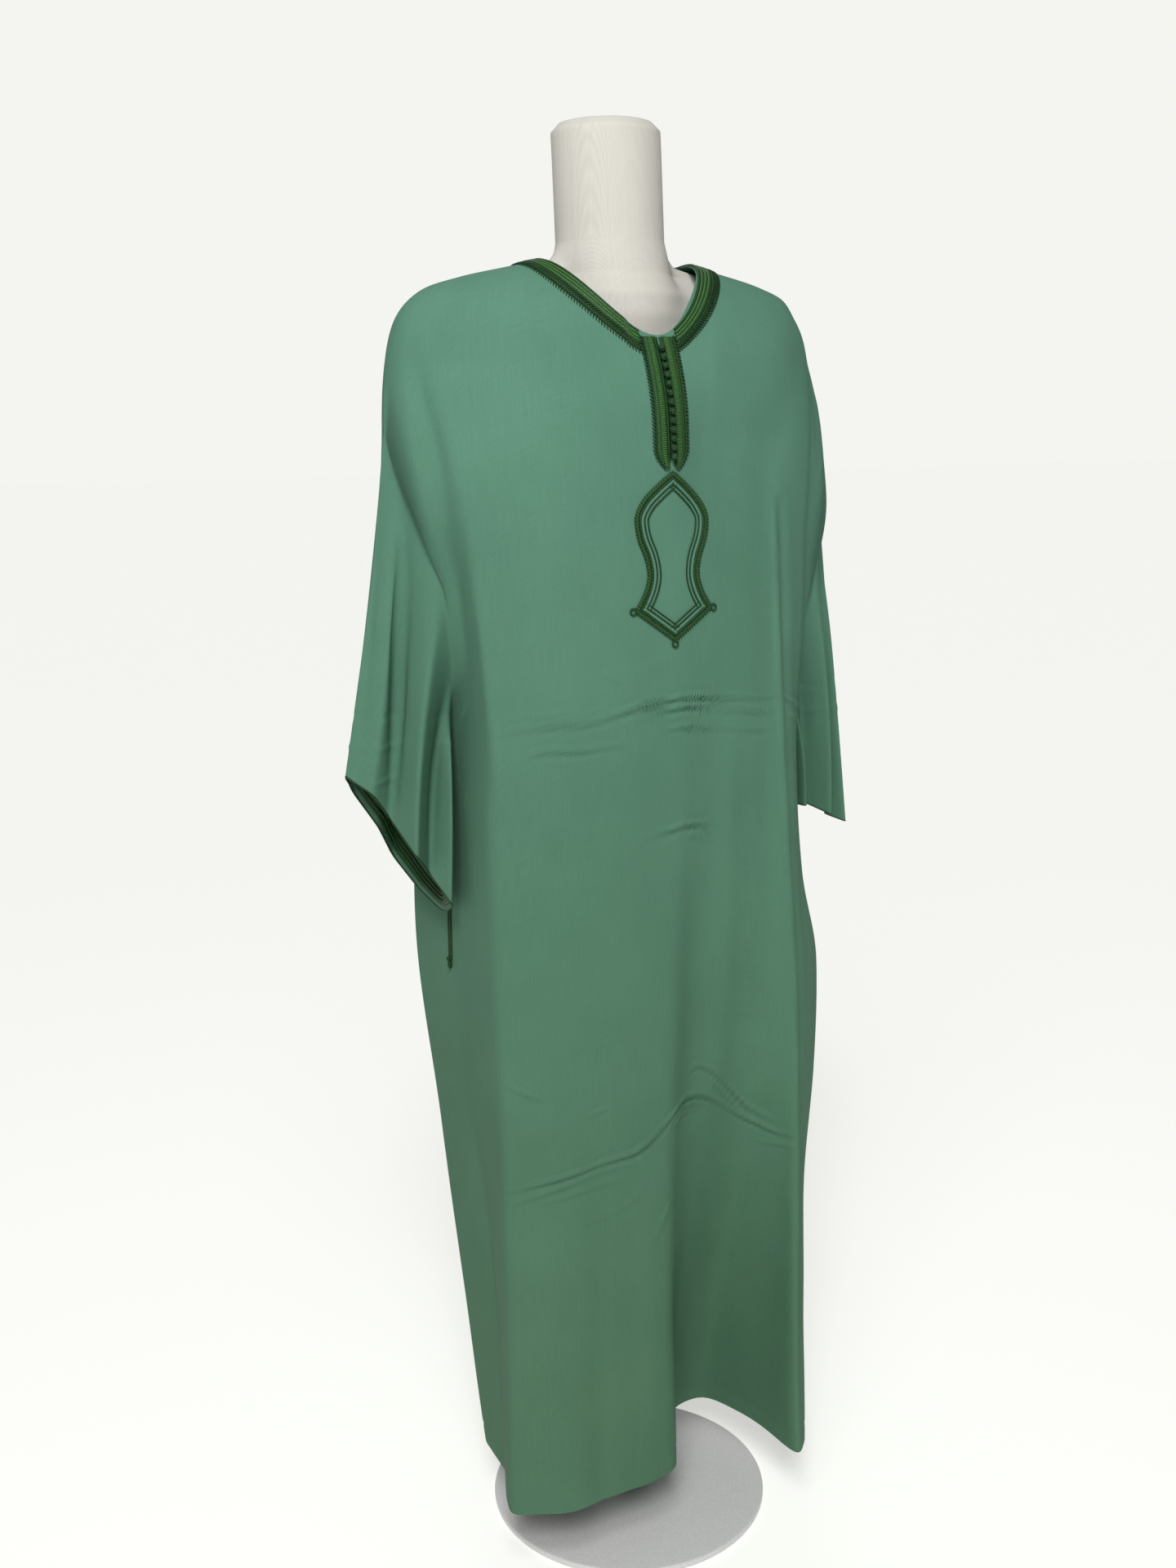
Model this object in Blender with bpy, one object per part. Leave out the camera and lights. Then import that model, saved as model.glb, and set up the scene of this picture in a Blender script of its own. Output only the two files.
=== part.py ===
"""A hoodless djellaba robe with wide short sleeves, hanging on a limbless dress form.

Metres, +Z up. The origin is on the floor under the pole, the robe faces -Y, and -X is the wearer's right.
"""

import math

import bpy
import numpy as np
from mathutils import Vector
from mathutils.bvhtree import BVHTree

# Cloth and seams
CLOTH = 0.0016
SEAM_GAP = 0.0006
TRIM_CLEARANCE = 0.0006

# Main sizes of the robe
HEM_HEIGHT = 0.08
UNDERARM_HEIGHT = 0.985
NECK_HALF_WIDTH = 0.088
NECK_FRONT_DEPTH = 0.105
NECK_BACK_DEPTH = 0.075
NECK_FRONT_HEIGHT = 1.405
NECK_BACK_HEIGHT = 1.478
NECK_SHARE = 0.26
SHOULDER_ROUND = 0.17
SIDE_ROUND = 0.22

# Grid of each panel. Columns are counted on each shoulder, then across the neck.
FRONT_COLUMNS = (11, 14)
BACK_COLUMNS = (7, 14)
ARMHOLE_ROWS = 16
LOWER_ROWS = 10
SLEEVE_ROWS = 10
CORNER_ROUNDING = 0.055

# The shoulder ridge from the side of the neck to the top of the armhole: share of the half panel, half width, height
RIDGE = (
    (0.26, 0.088, 1.488),
    (0.38, 0.132, 1.479),
    (0.52, 0.180, 1.468),
    (0.64, 0.220, 1.454),
    (0.74, 0.245, 1.430),
    (0.84, 0.258, 1.392),
    (0.92, 0.263, 1.352),
    (1.00, 0.266, 1.310),
)

# The armhole seam down the front and down the back, the same on both sides: height, half width, y
ARMHOLE_FRONT = ((1.31, 0.266, 0.000), (1.24, 0.242, -0.044), (1.15, 0.224, -0.056), (1.05, 0.212, -0.036),
                 (0.985, 0.208, 0.008))
ARMHOLE_BACK = ((1.31, 0.266, 0.000), (1.24, 0.252, 0.036), (1.15, 0.232, 0.050), (1.05, 0.214, 0.040),
                (0.985, 0.208, 0.008))

# The side seams below the underarm: height, x, y
SIDE_SEAMS = {
    -1: ((0.985, -0.208, 0.008), (0.90, -0.203, 0.018), (0.71, -0.205, 0.020), (0.39, -0.178, -0.008),
         (0.08, -0.170, -0.020)),
    1: ((0.985, 0.208, 0.008), (0.90, 0.208, 0.012), (0.80, 0.212, 0.012), (0.69, 0.226, 0.010),
        (0.56, 0.221, 0.006), (0.39, 0.208, 0.000), (0.08, 0.199, -0.030)),
}

# Lines that run down the cloth, one for each fold edge or valley: share across the panel, then height, x, y.
# The lines at share -1 and 1 are the seams above.
FRONT_LINES = (
    (-1.00, None),
    (-0.86, ((1.36, -0.247, -0.040), (1.25, -0.230, -0.070), (1.12, -0.214, -0.078), (0.98, -0.208, -0.062),
             (0.70, -0.203, -0.052), (0.40, -0.189, -0.050), (0.08, -0.188, -0.055))),
    (-0.70, ((1.38, -0.218, -0.058), (1.30, -0.215, -0.088), (1.15, -0.209, -0.105), (0.95, -0.204, -0.108),
             (0.70, -0.200, -0.106), (0.40, -0.196, -0.098), (0.08, -0.196, -0.092))),
    (-0.40, ((1.38, -0.122, -0.104), (1.30, -0.118, -0.124), (1.15, -0.114, -0.134), (0.90, -0.112, -0.137),
             (0.50, -0.112, -0.130), (0.08, -0.116, -0.120))),
    (0.00, ((1.40, 0.000, -0.107), (1.30, 0.000, -0.130), (1.15, 0.000, -0.139), (0.95, 0.000, -0.143),
            (0.60, -0.006, -0.137), (0.35, 0.002, -0.122), (0.08, 0.020, -0.100))),
    (0.22, ((1.30, 0.058, -0.126), (1.15, 0.056, -0.135), (0.95, 0.052, -0.136), (0.70, 0.048, -0.122),
            (0.45, 0.052, -0.086), (0.25, 0.056, -0.024), (0.08, 0.062, 0.022))),
    (0.42, ((1.30, 0.100, -0.116), (1.15, 0.098, -0.127), (0.95, 0.096, -0.132), (0.70, 0.098, -0.124),
            (0.45, 0.106, -0.078), (0.25, 0.114, -0.016), (0.08, 0.122, 0.024))),
    (0.56, ((1.30, 0.130, -0.105), (1.15, 0.124, -0.118), (0.95, 0.122, -0.126), (0.70, 0.128, -0.130),
            (0.45, 0.140, -0.112), (0.25, 0.148, -0.080), (0.08, 0.153, -0.056))),
    (0.70, ((1.38, 0.178, -0.072), (1.30, 0.162, -0.096), (1.15, 0.150, -0.112), (0.95, 0.146, -0.127),
            (0.70, 0.153, -0.142), (0.40, 0.158, -0.147), (0.08, 0.161, -0.147))),
    (0.86, ((1.36, 0.236, -0.040), (1.25, 0.218, -0.066), (1.12, 0.209, -0.074), (0.98, 0.206, -0.068),
            (0.80, 0.212, -0.072), (0.69, 0.230, -0.078), (0.56, 0.222, -0.084), (0.40, 0.206, -0.088),
            (0.08, 0.196, -0.110))),
    (1.00, None),
)

BACK_LINES = (
    (-1.00, None),
    (-0.74, ((1.38, -0.222, 0.062), (1.28, -0.222, 0.088), (1.15, -0.218, 0.104), (0.95, -0.219, 0.112),
             (0.77, -0.222, 0.112), (0.50, -0.203, 0.102), (0.25, -0.183, 0.084), (0.08, -0.170, 0.066))),
    (-0.52, ((1.38, -0.150, 0.098), (1.28, -0.150, 0.118), (1.12, -0.150, 0.128), (0.90, -0.150, 0.128),
             (0.55, -0.140, 0.116), (0.30, -0.126, 0.100), (0.08, -0.112, 0.086))),
    (-0.28, ((1.38, -0.082, 0.112), (1.28, -0.082, 0.128), (1.12, -0.084, 0.140), (0.90, -0.088, 0.148),
             (0.55, -0.088, 0.158), (0.30, -0.084, 0.164), (0.08, -0.080, 0.170))),
    (0.00, ((1.42, 0.000, 0.098), (1.28, 0.000, 0.124), (1.12, 0.000, 0.132), (0.90, 0.000, 0.126),
            (0.55, 0.004, 0.104), (0.30, 0.006, 0.086), (0.08, 0.008, 0.070))),
    (0.28, ((1.38, 0.082, 0.112), (1.28, 0.082, 0.128), (1.12, 0.084, 0.142), (0.90, 0.088, 0.152),
            (0.55, 0.092, 0.166), (0.30, 0.094, 0.176), (0.08, 0.096, 0.182))),
    (0.54, ((1.38, 0.152, 0.098), (1.28, 0.152, 0.116), (1.12, 0.152, 0.122), (0.90, 0.154, 0.118),
            (0.55, 0.152, 0.104), (0.30, 0.146, 0.092), (0.08, 0.140, 0.084))),
    (0.76, ((1.38, 0.222, 0.062), (1.28, 0.222, 0.086), (1.15, 0.218, 0.102), (0.95, 0.218, 0.110),
            (0.77, 0.220, 0.114), (0.50, 0.218, 0.116), (0.25, 0.214, 0.112), (0.08, 0.208, 0.106))),
    (1.00, None),
)

# How far the left shoulder is drawn in, where the robe has slipped to that side: height, share of the width
LEFT_SHOULDER = ((1.475, 1.000), (1.460, 0.970), (1.430, 0.925), (1.390, 0.925), (1.360, 0.940), (1.330, 0.958),
                 (1.290, 0.975), (1.240, 0.985), (1.120, 1.000))

# Round each sleeve, a row for each fold edge or valley: share of the ring, then half width, y and height
# of the ring that steers the middle, and of the cuff. Share 0 is the top edge and 0.5 is the underarm seam.
SLEEVE_FOLDS = {
    -1: (
        (0.00, (0.290, 0.004, 1.125), (0.322, 0.010, 0.950)),
        (0.10, (0.272, -0.030, 1.095), (0.300, -0.012, 0.932)),
        (0.18, (0.262, -0.006, 1.060), (0.276, 0.006, 0.900)),
        (0.27, (0.262, -0.062, 1.020), (0.264, -0.046, 0.866)),
        (0.37, (0.232, -0.010, 0.990), (0.240, -0.014, 0.838)),
        (0.45, (0.222, -0.064, 0.960), (0.224, -0.046, 0.806)),
        (0.51, (0.214, 0.000, 0.910), (0.218, 0.004, 0.785)),
        (0.58, (0.220, 0.036, 0.960), (0.234, 0.040, 0.806)),
        (0.68, (0.244, 0.062, 1.010), (0.260, 0.052, 0.846)),
        (0.78, (0.258, 0.034, 1.060), (0.282, 0.030, 0.886)),
        (0.90, (0.278, 0.050, 1.100), (0.306, 0.042, 0.926)),
        (1.00, (0.290, 0.004, 1.125), (0.322, 0.010, 0.950)),
    ),
    1: (
        (0.00, (0.286, 0.004, 1.095), (0.306, 0.010, 0.838)),
        (0.10, (0.272, -0.030, 1.075), (0.300, -0.024, 0.838)),
        (0.18, (0.262, -0.006, 1.048), (0.280, -0.002, 0.847)),
        (0.27, (0.260, -0.056, 1.020), (0.266, -0.044, 0.854)),
        (0.37, (0.234, -0.012, 0.998), (0.246, -0.012, 0.866)),
        (0.45, (0.224, -0.056, 0.978), (0.231, -0.040, 0.868)),
        (0.51, (0.217, 0.000, 0.945), (0.225, 0.004, 0.868)),
        (0.58, (0.226, 0.036, 0.975), (0.240, 0.038, 0.868)),
        (0.68, (0.244, 0.060, 1.010), (0.260, 0.052, 0.862)),
        (0.78, (0.258, 0.034, 1.044), (0.280, 0.030, 0.854)),
        (0.90, (0.276, 0.050, 1.080), (0.299, 0.042, 0.846)),
        (1.00, (0.286, 0.004, 1.095), (0.306, 0.010, 0.838)),
    ),
}

# Trim on the front: neck band, placket and ornament
NECK_BAND_WIDTH = 0.030
NECK_BAND_THICKNESS = 0.0032
NECK_CORDS = 3
NECK_END_TURN = 0.35
NECK_BAND_SIDES = 52
NECK_BAND_CLEARANCE = 0.0018
PLACKET_TOP = 1.404
PLACKET_LENGTH = 0.125
PLACKET_HALF_WIDTH = 0.0215
PLACKET_SLOT = 0.0046
BRAID_THICKNESS = 0.0032
KNOT_COUNT = 13
KNOT_RADIUS = 0.0040
ORNAMENT_TOP = 1.2615
ORNAMENT_HEIGHT = 0.169
ORNAMENT_BRAID_WIDTH = 0.0068
PIPING_RADIUS = 0.0011
PIPING_INSETS = (0.0085, 0.0125)

# Outline of the ornament from its top point down one side: drop from the top, half width
ORNAMENT_SHAPE = (
    (0.000, 0.0030),
    (0.011, 0.0170),
    (0.026, 0.0325),
    (0.045, 0.0412),
    (0.064, 0.0385),
    (0.084, 0.0308),
    (0.101, 0.0280),
    (0.119, 0.0325),
    (0.138, 0.0435),
)

# Pocket slits in the side seams, and the cuffs' inner braid
SLIT_TOP = 0.915
SLIT_LENGTH = 0.19
SLIT_BRAID_WIDTH = 0.0075
CUFF_BRAID_ROWS = (0.90, 0.95, 0.992)
CUFF_BRAID_THICKNESS = 0.0014

# Dress form: height, half width, half depth, y of the middle, radius of the neck's root or 0 below it
FORM_SECTIONS = (
    (0.800, 0.110, 0.074, 0.004, 0.000),
    (0.812, 0.138, 0.088, 0.004, 0.000),
    (0.860, 0.152, 0.096, 0.004, 0.000),
    (0.950, 0.150, 0.092, 0.004, 0.000),
    (1.060, 0.142, 0.086, 0.002, 0.000),
    (1.180, 0.158, 0.092, 0.000, 0.000),
    (1.290, 0.190, 0.094, 0.000, 0.000),
    (1.360, 0.208, 0.080, 0.000, 0.000),
    (1.400, 0.214, 0.066, 0.000, 0.072),
    (1.430, 0.215, 0.052, 0.000, 0.076),
    (1.452, 0.2065, 0.040, 0.000, 0.074),
    (1.466, 0.1785, 0.025, 0.000, 0.068),
    (1.474, 0.128, 0.018, 0.001, 0.065),
    (1.486, 0.072, 0.020, 0.002, 0.063),
    (1.510, 0.040, 0.020, 0.004, 0.059),
    (1.600, 0.040, 0.020, 0.009, 0.059),
    (1.624, 0.040, 0.020, 0.011, 0.059),
    (1.632, 0.040, 0.020, 0.011, 0.051),
)
FORM_SIDES = 28
FORM_BLEND = 6
POLE_RADIUS = 0.016
BASE_RADIUS = 0.17
BASE_THICKNESS = 0.008
SEAT_GAP = 0.0003
RAY_NUDGE = 0.00001


def clear_scene():
    for obj in list(bpy.data.objects):
        bpy.data.objects.remove(obj, do_unlink=True)


def material(name, colour, roughness, metallic=0.0):
    made = bpy.data.materials.new(name)
    made.use_nodes = True
    shader = made.node_tree.nodes["Principled BSDF"]
    shader.inputs["Base Color"].default_value = (*colour, 1.0)
    shader.inputs["Roughness"].default_value = roughness
    shader.inputs["Metallic"].default_value = metallic
    return made


def smooth_read(table, where):
    """The columns of a table at one place in its first column, on a curve that doesn't overshoot its rows."""
    table = np.asarray(table, float)
    if table[0, 0] > table[-1, 0]:
        table = table[::-1]
    places = table[:, 0]
    where = float(np.clip(where, places[0], places[-1]))
    row = int(np.clip(np.searchsorted(places, where, side="right") - 1, 0, len(places) - 2))
    steps = np.diff(places)
    slopes = np.diff(table[:, 1:], axis=0) / steps[:, None]
    tangents = np.vstack([slopes[:1], (slopes[:-1] + slopes[1:]) / 2, slopes[-1:]])
    turning = slopes[:-1] * slopes[1:] <= 0
    tangents[1:-1][turning] = 0.0
    part = (where - places[row]) / steps[row]
    a, b = table[row, 1:], table[row + 1, 1:]
    from_a, from_b = tangents[row] * steps[row], tangents[row + 1] * steps[row]
    return (
        a * (2 * part**3 - 3 * part**2 + 1)
        + from_a * (part**3 - 2 * part**2 + part)
        + b * (3 * part**2 - 2 * part**3)
        + from_b * (part**3 - part**2)
    )


def on_polyline(shares, points, share):
    """A point on the straight runs between points, carried on past each end by turning the end run about its end."""
    if share < shares[0]:
        return 2 * points[0] - on_polyline(shares, points, 2 * shares[0] - share)
    if share > shares[-1]:
        return 2 * points[-1] - on_polyline(shares, points, 2 * shares[-1] - share)
    return np.array([np.interp(share, shares, column) for column in points.T])


def rounded(shares, points, share, rounding):
    """The polyline with its corners rounded off, by averaging it over a short run on both sides."""
    weights = ((-1.0, 1), (-0.5, 2), (0.0, 2), (0.5, 2), (1.0, 1))
    total = sum(weight for _, weight in weights)
    return sum(on_polyline(shares, points, share + rounding * step) * weight for step, weight in weights) / total


def top_edge(front, share):
    """The upper edge of a panel: the neckline in its middle, then the shoulder ridge and its drop to the armhole."""
    side = math.copysign(1.0, share)
    half = abs(share)
    if half >= NECK_SHARE:
        width, height = smooth_read(RIDGE, half)
        return np.array([side * width, 0.0, height])
    turn = half / NECK_SHARE * math.pi / 2
    depth = -NECK_FRONT_DEPTH if front else NECK_BACK_DEPTH
    low = NECK_FRONT_HEIGHT if front else NECK_BACK_HEIGHT
    bend = 1 - (1 - (RIDGE[0][2] - low) / SHOULDER_ROUND) ** 2
    height = RIDGE[0][2] - SHOULDER_ROUND * (1 - math.sqrt(1 - bend * math.cos(turn) ** 2))
    return np.array([side * NECK_HALF_WIDTH * math.sin(turn), depth * math.cos(turn), height])


def seam_point(front, side, height):
    """x and y of the armhole's edge, or below the underarm of the side seam."""
    if height <= UNDERARM_HEIGHT:
        return smooth_read(SIDE_SEAMS[side], height)
    width, y = smooth_read(ARMHOLE_FRONT if front else ARMHOLE_BACK, height)
    return np.array([side * width, y])


def line_point(front, share, table, height):
    return smooth_read(table, height) if table else seam_point(front, int(share), height)


def forward_share(drop):
    """How much of its full depth the cloth has reached this far below the shoulder ridge."""
    return math.sqrt(1 - (1 - min(max(drop / SHOULDER_ROUND, 0.0), 1.0)) ** 2)


def across_lines(front, share, height):
    """x and y of the full section at a height, before the shoulders draw it in."""
    lines = FRONT_LINES if front else BACK_LINES
    shares = np.array([line[0] for line in lines])
    corners = np.array([line_point(front, line_share, table, height) for line_share, table in lines])
    return rounded(shares, corners, share, CORNER_ROUNDING)


def body_point(front, share, fall):
    """A point of the body's cloth: share -1 to 1 from the right seam to the left one, fall 0 to 1 from top to hem."""
    top = top_edge(front, share)
    height = top[2] + (HEM_HEIGHT - top[2]) * fall
    full = across_lines(front, share, height)
    drawn_in = smooth_read(LEFT_SHOULDER, height)[0] if share > 0 else 1.0
    if abs(share) == 1.0:
        return np.array([full[0] * drawn_in, full[1], height])
    ridge = max(top[2], RIDGE[0][2]) if abs(share) < NECK_SHARE else top[2]
    beside = min((top[2] - height) / SIDE_ROUND, 1.0)
    settled = beside * beside * (3 - 2 * beside)
    at_top = across_lines(front, share, top[2])[1] * forward_share(ridge - top[2])
    x = top[0] + (full[0] - top[0]) * settled
    y = full[1] * forward_share(ridge - height) + (top[1] - at_top) * (1 - settled)
    return np.array([x * drawn_in, y, height])


def fall_rows():
    """Falls of the panel rows: close together over the shoulder, one at the underarm, then even to the hem."""
    top = RIDGE[-1][2]
    underarm = (top - UNDERARM_HEIGHT) / (top - HEM_HEIGHT)
    upper = [underarm * (row / ARMHOLE_ROWS) ** 2.2 for row in range(ARMHOLE_ROWS + 1)]
    lower = [underarm + (1 - underarm) * row / LOWER_ROWS for row in range(1, LOWER_ROWS + 1)]
    return upper + lower


def panel_grid(front, columns):
    shoulder, neck = columns
    middle = np.linspace(-NECK_SHARE, NECK_SHARE, neck + 1)
    right = np.linspace(-1, -NECK_SHARE, shoulder, endpoint=False)
    shares = np.concatenate([right, middle, -right[::-1]])
    return np.array([[body_point(front, share, fall) for share in shares] for fall in fall_rows()])


def grid_normals(grid, ring=False):
    """Unit normals of a grid of points, from its steps down and across."""
    down = np.gradient(grid, axis=0)
    if ring:
        across = (np.roll(grid, -1, axis=1) - np.roll(grid, 1, axis=1)) / 2
    else:
        across = np.gradient(grid, axis=1)
    normals = np.cross(across, down)
    return normals / np.linalg.norm(normals, axis=2, keepdims=True)


def unit(vectors):
    return vectors / np.linalg.norm(vectors, axis=-1, keepdims=True)


class Cloth:
    """A sheet of cloth: the points of its middle, the way out at each point, and whether it closes to a ring."""

    def __init__(self, grid, outward, ring=False):
        self.grid = grid
        self.ring = ring
        self.uncut = grid.copy()
        self.normals = grid_normals(grid, ring) * outward


def sew(places):
    """Gives points sewn together one common way out, and parts each sheet from the seam by half the gap.

    places lists each seam point as its sheet, its row and column, and the row and column next to it inside the sheet.
    """
    groups = {}
    for cloth, at, inner in places:
        key = tuple(np.round(cloth.grid[at], 6))
        groups.setdefault(key, []).append((cloth, at, cloth.grid[inner] - cloth.grid[at]))
    for group in groups.values():
        common = unit(sum(cloth.normals[at] for cloth, at, _ in group))
        for cloth, at, inward in group:
            inward = inward - inward.dot(common) * common
            cloth.grid[at] = cloth.grid[at] + unit(inward) * SEAM_GAP / 2
            cloth.normals[at] = common


def halves(quad, mirrored):
    """The two triangles of a quad. The walls and the surface that trim lies on are cut the same way."""
    a, b, c, d = quad
    return ((a, b, d), (b, c, d)) if mirrored else ((a, b, c), (a, c, d))


def closed_wall(name, outer, inner, ring, finish):
    """A closed solid between two grids of points. The outer grid's faces look out."""
    rows, columns = outer.shape[:2]
    corners = [tuple(p) for p in outer.reshape(-1, 3)] + [tuple(p) for p in inner.reshape(-1, 3)]
    shift = rows * columns
    faces = []

    def at(row, column, layer):
        return layer * shift + row * columns + column % columns

    last = columns if ring else columns - 1
    for row in range(rows - 1):
        for column in range(last):
            quad = (at(row, column, 0), at(row, column + 1, 0), at(row + 1, column + 1, 0), at(row + 1, column, 0))
            for half in halves(quad, not ring and column < columns // 2):
                faces.append(half[::-1])
                faces.append(tuple(corner + shift for corner in half))
    for column in range(last):
        faces.append((at(0, column, 0), at(0, column + 1, 0), at(0, column + 1, 1), at(0, column, 1)))
        bottom = rows - 1
        faces.append(
            (at(bottom, column + 1, 0), at(bottom, column, 0), at(bottom, column, 1), at(bottom, column + 1, 1))
        )
    if not ring:
        for row in range(rows - 1):
            faces.append((at(row + 1, 0, 0), at(row, 0, 0), at(row, 0, 1), at(row + 1, 0, 1)))
            end = columns - 1
            faces.append((at(row, end, 0), at(row + 1, end, 0), at(row + 1, end, 1), at(row, end, 1)))
    return mesh_object(name, corners, faces, finish)


def mesh_object(name, corners, faces, finish):
    mesh = bpy.data.meshes.new(name)
    mesh.from_pydata(corners, [], faces)
    mesh.validate()
    obj = bpy.data.objects.new(name, mesh)
    bpy.context.scene.collection.objects.link(obj)
    face_out(mesh)
    mesh.shade_smooth()
    mesh.materials.append(finish)
    return obj


def face_out(mesh):
    """Turns every face over if the closed mesh holds less than nothing."""
    mesh.calc_loop_triangles()
    points = np.array([vertex.co for vertex in mesh.vertices])
    corners = points[np.array([triangle.vertices for triangle in mesh.loop_triangles])]
    if np.einsum("ij,ij->i", corners[:, 0], np.cross(corners[:, 1], corners[:, 2])).sum() < 0:
        mesh.flip_normals()


def sleeve_grid(side, armhole):
    """Rows of rings from the armhole to the cuff. armhole is the ring of the body's own edge points."""
    count = len(armhole)
    shares = np.array([row[0] for row in SLEEVE_FOLDS[side]])
    steer = np.array([row[1] for row in SLEEVE_FOLDS[side]])
    cuff = np.array([row[2] for row in SLEEVE_FOLDS[side]])

    def ring(points):
        places = [rounded(shares, points, index / count, 0.03) for index in range(count)]
        places = np.array(places)
        places[:, 0] *= side
        return places

    middle, end = ring(steer), ring(cuff)
    down = np.linspace(0, 1, SLEEVE_ROWS + 1)
    return np.array([armhole * (1 - v) ** 2 + middle * 2 * v * (1 - v) + end * v**2 for v in down])


def build_robe():
    """The four pieces of cloth, sewn edge to edge."""
    front = Cloth(panel_grid(True, FRONT_COLUMNS), -1)
    back = Cloth(panel_grid(False, BACK_COLUMNS), 1)
    sleeves = {}
    places = []
    for name, side, edge, beside in (("sleeve_right", -1, 0, 1), ("sleeve_left", 1, -1, -2)):
        fore = front.grid[: ARMHOLE_ROWS + 1, edge]
        aft = back.grid[: ARMHOLE_ROWS + 1, edge]
        armhole = np.concatenate([fore, aft[-2:0:-1]])
        sleeve = Cloth(sleeve_grid(side, armhole), side, ring=True)
        sleeves[name] = sleeve
        places += [(sleeve, (0, column), (1, column)) for column in range(len(armhole))]
        for panel in (front, back):
            places += [(panel, (row, edge), (max(row, 1), beside)) for row in range(len(panel.grid))]
    for panel, away in ((front, -1), (back, 1)):
        for column in np.flatnonzero(np.abs(panel.grid[0, :, 1]) < 1e-6)[1:-1]:
            along = panel.normals[0, column] * (1, 0, 1)
            panel.normals[0, column] = unit(along)
            panel.grid[0, column, 1] += away * SEAM_GAP / 2
    sew(places)
    return front, back, sleeves


class Surface:
    """The robe's outer faces, to lay trim on."""

    def __init__(self, cloths):
        corners, faces = [], []
        for cloth in cloths:
            outer = cloth.uncut + cloth.normals * CLOTH / 2
            rows, columns = outer.shape[:2]
            shift = len(corners)
            corners += [tuple(point) for point in outer.reshape(-1, 3)]
            for row in range(rows - 1):
                for column in range(columns - 1):
                    at = shift + row * columns + column
                    quad = (at, at + 1, at + columns + 1, at + columns)
                    faces += halves(quad, column < columns // 2)
        self.tree = BVHTree.FromPolygons(corners, faces)

    def front(self, x, height, out):
        """The point in front of the chest at x and height, out from the cloth by this much."""
        point, normal, _, _ = self.tree.ray_cast(Vector((x, -1.0, height)), Vector((0, 1, 0)))
        normal = normal if normal.y < 0 else -normal
        return np.array(point + normal * out)

    def below(self, x, y):
        """The highest point of the cloth over x and y, and its way out, or None beside the cloth."""
        point, normal, _, _ = self.tree.ray_cast(Vector((x, y + RAY_NUDGE, 2.0)), Vector((0, 0, -1)))
        if point is None or point.z < UNDERARM_HEIGHT:
            return None
        return point, normal if normal.z > 0 else -normal


def ridged(across, ribs, low, high):
    """Height of a braid's face at a place across it, 0 to 1, with this many rounded ribs."""
    return low + (high - low) * abs(math.sin(math.pi * ribs * across)) ** 0.7


def neck_band(surface, finish):
    """The braid round the neckline, in parallel cords, laid on the cloth outside the neck edge."""
    steps = 2 * NECK_CORDS
    first = math.asin((PLACKET_HALF_WIDTH + TRIM_CLEARANCE) / NECK_HALF_WIDTH)
    outer, inner = [], []
    quarter = NECK_BAND_SIDES // 4
    before = np.linspace(first, math.pi / 2, quarter, endpoint=False)
    behind = np.linspace(math.pi / 2, 3 * math.pi / 2, 2 * quarter, endpoint=False)
    after = np.linspace(3 * math.pi / 2, 2 * math.pi - first, quarter + 1)
    for turn in np.concatenate([before, behind, after]):
        depth = NECK_FRONT_DEPTH if math.cos(turn) > 0 else NECK_BACK_DEPTH
        edge = np.array([NECK_HALF_WIDTH * math.sin(turn), -depth * math.cos(turn)])
        beside_placket = max(0.0, 1 - (min(turn, 2 * math.pi - turn) - first) / NECK_END_TURN)
        sideways = math.sin(turn) / NECK_HALF_WIDTH * (1 - beside_placket)
        away = unit(np.array([sideways, -math.cos(turn) / depth]))
        reach = np.linspace(0.0008, 0.06, 40)
        hits = [hit for hit in (surface.below(*(edge + away * r)) for r in reach) if hit]
        points = np.array([hit[0] for hit in hits])
        normals = np.array([hit[1] for hit in hits])
        length = np.concatenate([[0], np.cumsum(np.linalg.norm(np.diff(points, axis=0), axis=1))])
        low_row, high_row = [], []
        for step in range(steps + 1):
            across = step / steps
            at = 0.001 + across * NECK_BAND_WIDTH
            place = np.array([np.interp(at, length, column) for column in points.T])
            way = unit(np.array([np.interp(at, length, column) for column in normals.T]))
            low_row.append(place + way * NECK_BAND_CLEARANCE)
            high_row.append(place + way * (NECK_BAND_CLEARANCE + ridged(across, NECK_CORDS, 0.0016, NECK_BAND_THICKNESS)))
        outer.append(high_row)
        inner.append(low_row)
    outer = np.array(outer).transpose(1, 0, 2)
    inner = np.array(inner).transpose(1, 0, 2)
    return closed_wall("neck_braid", outer, inner, False, finish)


def placket_half_width(down):
    """Outer half width of the placket at a share of its length: even, then drawn in to a round end."""
    end = max(0.0, (down - 0.84) / 0.16)
    return PLACKET_HALF_WIDTH * (1 - 0.62 * end**2)


def placket_braid(name, side, surface, finish):
    rows, steps = 17, 6
    outer, inner = [], []
    for row in range(rows + 1):
        down = row / rows
        height = PLACKET_TOP - 0.010 - down * PLACKET_LENGTH
        slot = PLACKET_SLOT * (1 - 0.7 * max(0.0, (down - 0.9) / 0.1))
        low_row, high_row = [], []
        for step in range(steps + 1):
            across = step / steps
            x = side * (slot + (placket_half_width(down) - slot) * across)
            low_row.append(surface.front(x, height, TRIM_CLEARANCE))
            thick = ridged(across, 3, 0.0016, BRAID_THICKNESS)
            high_row.append(surface.front(x, height, TRIM_CLEARANCE + thick))
        outer.append(high_row)
        inner.append(low_row)
    return closed_wall(name, np.array(outer), np.array(inner), False, finish)


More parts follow.
